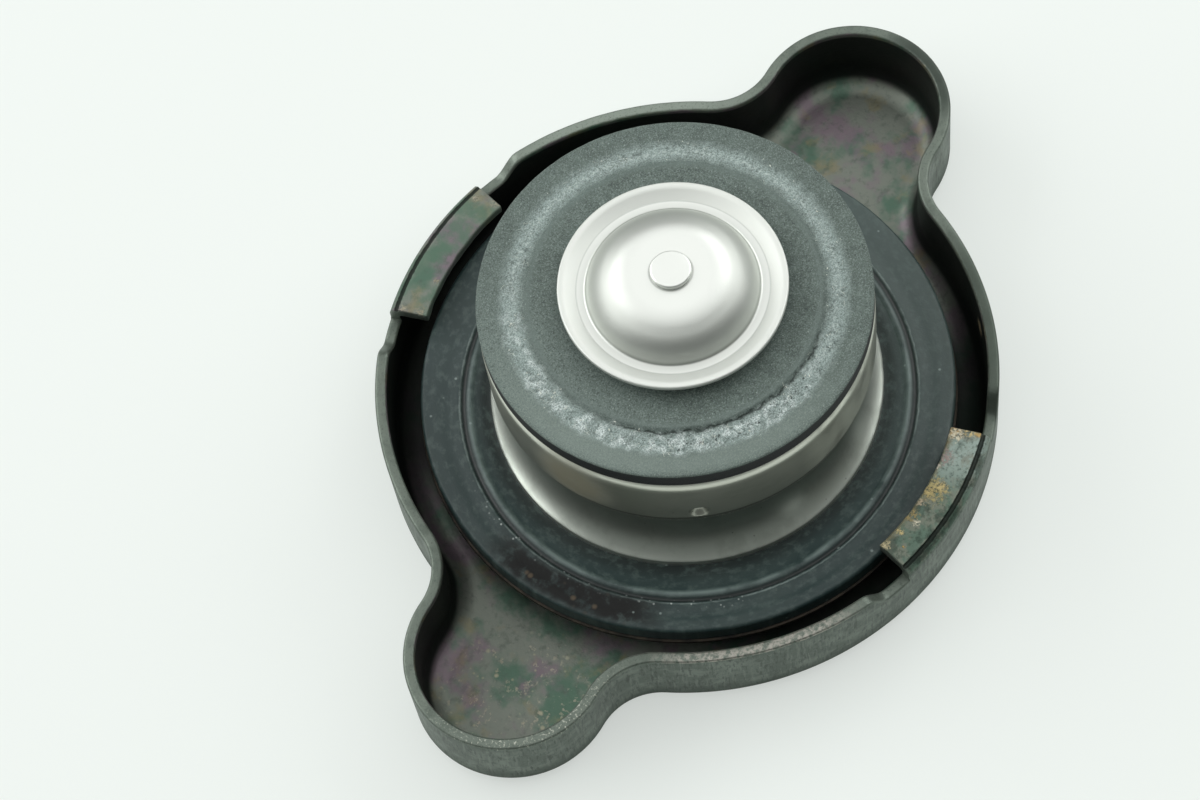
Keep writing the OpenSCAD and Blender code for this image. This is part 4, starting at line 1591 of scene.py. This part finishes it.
@dataclass
class VacuumValve:
    """The domed vacuum valve and the stem riveted into it."""

    flange_r: float = 10.1
    sheet: float = 0.5
    under: float = 25.1
    ring_z: float = 25.6
    top: float = 26.2
    dome_r: float = 7.7
    ring_w: float = 0.8
    slope_w: float = 0.55
    dome_top: float = 28.45
    crown_r: float = 4.5
    shoulder_r: float = 6.72
    shoulder_z: float = 27.28
    dome_bend: float = 3.8
    stem_r: float = 1.25
    head_r: float = 1.8
    head_h: float = 0.5
    stem_low: float = 14.2
    stem_gap: float = 0.05
    # How far the dome's inner corners are set in, in thicknesses of sheet
    crown_set: float = 0.27
    shoulder_set: float = 0.73
    wall_set: float = 0.6
    # Fillets of the valve and of the stem
    dome_foot: float = 0.3
    ring_under: float = 0.4
    ring_over: float = 0.25
    slope_under: float = 1.2
    slope_over: float = 1.4
    rim_under: float = 0.12
    rim_over: float = 0.16
    head_fillet: float = 0.16
    neck_fillet: float = 0.05
    tail_fillet: float = 0.1
    # Steps of the meshes
    valve_segments: int = 420
    stem_segments: int = 160

    def valve(self) -> None:
        """Make the stamping: raised flange, low ring and rounded dome."""
        t, rim, bend = self.sheet, self.flange_r, self.dome_bend
        hole, ring = self.stem_r + self.stem_gap, self.dome_r + self.ring_w
        set_in = self.shoulder_set * t
        corners = [
            Corner(hole, self.dome_top),
            Corner(hole, self.dome_top - t),
            Corner(self.crown_r - self.crown_set * t, self.dome_top - t, bend - t),
            Corner(self.shoulder_r - set_in, self.shoulder_z - set_in, bend - t),
            Corner(self.dome_r - self.wall_set * t, self.under, self.dome_foot),
            Corner(ring, self.under, self.ring_under),
            Corner(ring + 2 * self.slope_w, self.top - t, self.slope_under),
            Corner(rim, self.top - t, self.rim_under),
            Corner(rim, self.top, self.rim_over),
            Corner(ring + 2 * self.slope_w, self.top, self.slope_over),
            Corner(ring, self.ring_z, self.ring_over),
            Corner(self.dome_r, self.ring_z, self.dome_foot),
            Corner(self.shoulder_r, self.shoulder_z, bend),
            Corner(self.crown_r, self.dome_top, bend),
        ]
        section = rounded(corners, closed=True, arc_step=0.05)
        mesh = turned("vacuum_valve_disc", section, self.valve_segments)
        place(mesh, VACUUM_STEEL, Body.VACUUM, ["vacuum_valve"])

    def stem(self) -> None:
        """Make the stem with its riveted head."""
        head = self.dome_top + self.head_h
        corners = [
            Corner(0.0, head),
            Corner(self.head_r, head, self.head_fillet),
            Corner(self.head_r, self.dome_top, self.neck_fillet),
            Corner(self.stem_r, self.dome_top),
            Corner(self.stem_r, self.stem_low),
            Corner(self.head_r, self.stem_low, self.neck_fillet),
            Corner(self.head_r, self.stem_low - self.head_h, self.tail_fillet),
            Corner(0.0, self.stem_low - self.head_h),
        ]
        section = rounded(corners, closed=True, arc_step=0.05)
        mesh = turned("vacuum_valve_stem", section, self.stem_segments)
        place(mesh, VACUUM_STEEL, Body.VACUUM, ["vacuum_stem"])

    def build(self) -> None:
        """Make both pieces."""
        self.valve()
        self.stem()


@dataclass
class InnerWorks:
    """CAD nodes whose shape is right and which only take a finish."""

    finishes: dict[str, Finish] = field(
        default_factory=lambda: {
            "centre_rivet": PLATED_STEEL,
            "spring_seat": PLATED_STEEL,
            "pressure_spring": SPRING_WIRE,
            "stem_guide": PLATED_STEEL,
            "vacuum_spring": SPRING_WIRE,
            "spring_keeper": PLATED_STEEL,
        }
    )

    def build(self, nodes: dict[str, bpy.types.Object]) -> None:
        """Give each node its finish.

        Args:
            nodes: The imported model's objects.
        """
        for name, finish in self.finishes.items():
            materials = nodes[name].data.materials
            materials.clear()
            materials.append(finish.material())
            LOG.info("%s: %s", name, finish.name)


@dataclass(frozen=True)
class SoftBox:
    """A flat lamp that faces the cap, its sides in metres."""

    name: str
    turn: float
    rise: float
    wide: float
    tall: float
    watts: float
    away: float = 900.0

    def build(self) -> None:
        """Hang the lamp at its turn about the axis and its rise over the table, in degrees."""
        lamp = bpy.data.lights.new(self.name, "AREA")
        lamp.energy, lamp.shape, lamp.size, lamp.size_y = self.watts, "RECTANGLE", self.wide, self.tall
        turn, rise = math.radians(self.turn), math.radians(self.rise)
        arm = Vector((math.cos(turn) * math.cos(rise), math.sin(turn) * math.cos(rise), math.sin(rise)))
        hung = bpy.data.objects.new(self.name, lamp)
        aim = arm.to_track_quat("Z", "Y").to_matrix().to_4x4()
        hung.matrix_world = Matrix.Translation(arm * self.away * MM) @ aim
        bpy.context.scene.collection.objects.link(hung)


@dataclass
class Studio:
    """Floor, light and the camera at the photograph's angle."""

    eye: Solid = (-112.5, -86.4, 294.7)
    right: Solid = (0.5117, -0.8551, -0.0842)
    up: Solid = (0.7918, 0.4311, 0.4328)
    back: Solid = (-0.3338, -0.2881, 0.8976)
    lens: float = 105.0
    sensor: float = 36.0
    clip: Flat = (0.01, 10.0)
    floor_half: float = 3000.0
    floor_z: float = -0.02
    floor_colour: str = "#dee4e0"
    floor_glow: float = 0.55
    glow_colour: str = "#f4f9f5"
    sky_colour: str = "#f3f9f5"
    sky_strength: float = 0.16
    lamps: tuple[SoftBox, ...] = (
        SoftBox("top_box", 45.0, 77.0, 2.0, 2.0, 12.2),
        SoftBox("left_box", 108.0, 33.0, 1.1, 0.5, 4.8),
        SoftBox("right_box", -21.0, 33.0, 1.0, 0.5, 3.8),
    )

    def camera(self) -> None:
        """Set the camera that was fitted to the cap's circles in the photograph."""
        lens = bpy.data.cameras.new("photo_camera")
        lens.lens, lens.sensor_width, lens.sensor_fit = self.lens, self.sensor, "HORIZONTAL"
        lens.clip_start, lens.clip_end = self.clip
        seen = bpy.data.objects.new("photo_camera", lens)
        turn = Matrix((self.right, self.up, self.back)).transposed().to_4x4()
        seen.matrix_world = Matrix.Translation(Vector(self.eye) * MM) @ turn
        bpy.context.scene.collection.objects.link(seen)
        bpy.context.scene.camera = seen

    def floor(self) -> None:
        """Lay the pale table, part of whose white is its own, so that its shadows stay light."""
        half, z = self.floor_half, self.floor_z
        mesh = bpy.data.meshes.new("table")
        corners = [(-half, -half, z), (half, -half, z), (half, half, z), (-half, half, z)]
        mesh.from_pydata([tuple(MM * part for part in corner) for corner in corners], [], [(0, 1, 2, 3)])
        table = bpy.data.objects.new("table", mesh)
        bpy.context.scene.collection.objects.link(table)
        made = bpy.data.materials.new("white_table")
        made.use_nodes = True
        made.node_tree.nodes.clear()
        put = partial(add, made.node_tree)
        rays = put("ShaderNodeLightPath").node.outputs
        seen: float | bpy.types.NodeSocket = 0.0
        for ray in ("Is Camera Ray", "Is Glossy Ray", "Is Transmission Ray"):
            seen = put("ShaderNodeMath", {0: rays[ray], 1: seen}, operation="MAXIMUM")
        share = put("ShaderNodeMath", {0: seen, 1: self.floor_glow}, operation="MULTIPLY")
        board = put("ShaderNodeBsdfDiffuse", {"Color": linear(self.floor_colour)})
        glow = put("ShaderNodeEmission", {"Color": linear(self.glow_colour), "Strength": 1.0})
        mixed = put("ShaderNodeMixShader", {0: share, 1: board, 2: glow})
        put("ShaderNodeOutputMaterial", {"Surface": mixed})
        mesh.materials.append(made)

    def sky(self) -> None:
        """Set a dim even sky."""
        world = bpy.data.worlds.new("white_tent")
        bpy.context.scene.world = world
        world.use_nodes = True
        world.node_tree.nodes.clear()
        inputs = {"Color": linear(self.sky_colour), "Strength": self.sky_strength}
        sky = add(world.node_tree, "ShaderNodeBackground", inputs)
        add(world.node_tree, "ShaderNodeOutputWorld", {"Surface": sky})

    def build(self) -> None:
        """Set up the scene around the cap."""
        bpy.context.scene.view_settings.view_transform = "Standard"
        self.camera()
        self.floor()
        self.sky()
        for lamp in self.lamps:
            lamp.build()


def main() -> None:
    """Build the cap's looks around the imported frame."""
    logging.basicConfig(level=logging.INFO, format="%(name)s: %(message)s")
    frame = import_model()
    Studio().build()
    for assembly in (PressedShell(), NeckSeal(), Bell(), PressureValve(), VacuumValve()):
        assembly.build()
    InnerWorks().build(frame["nodes"])


if __name__ == "__main__":
    main()
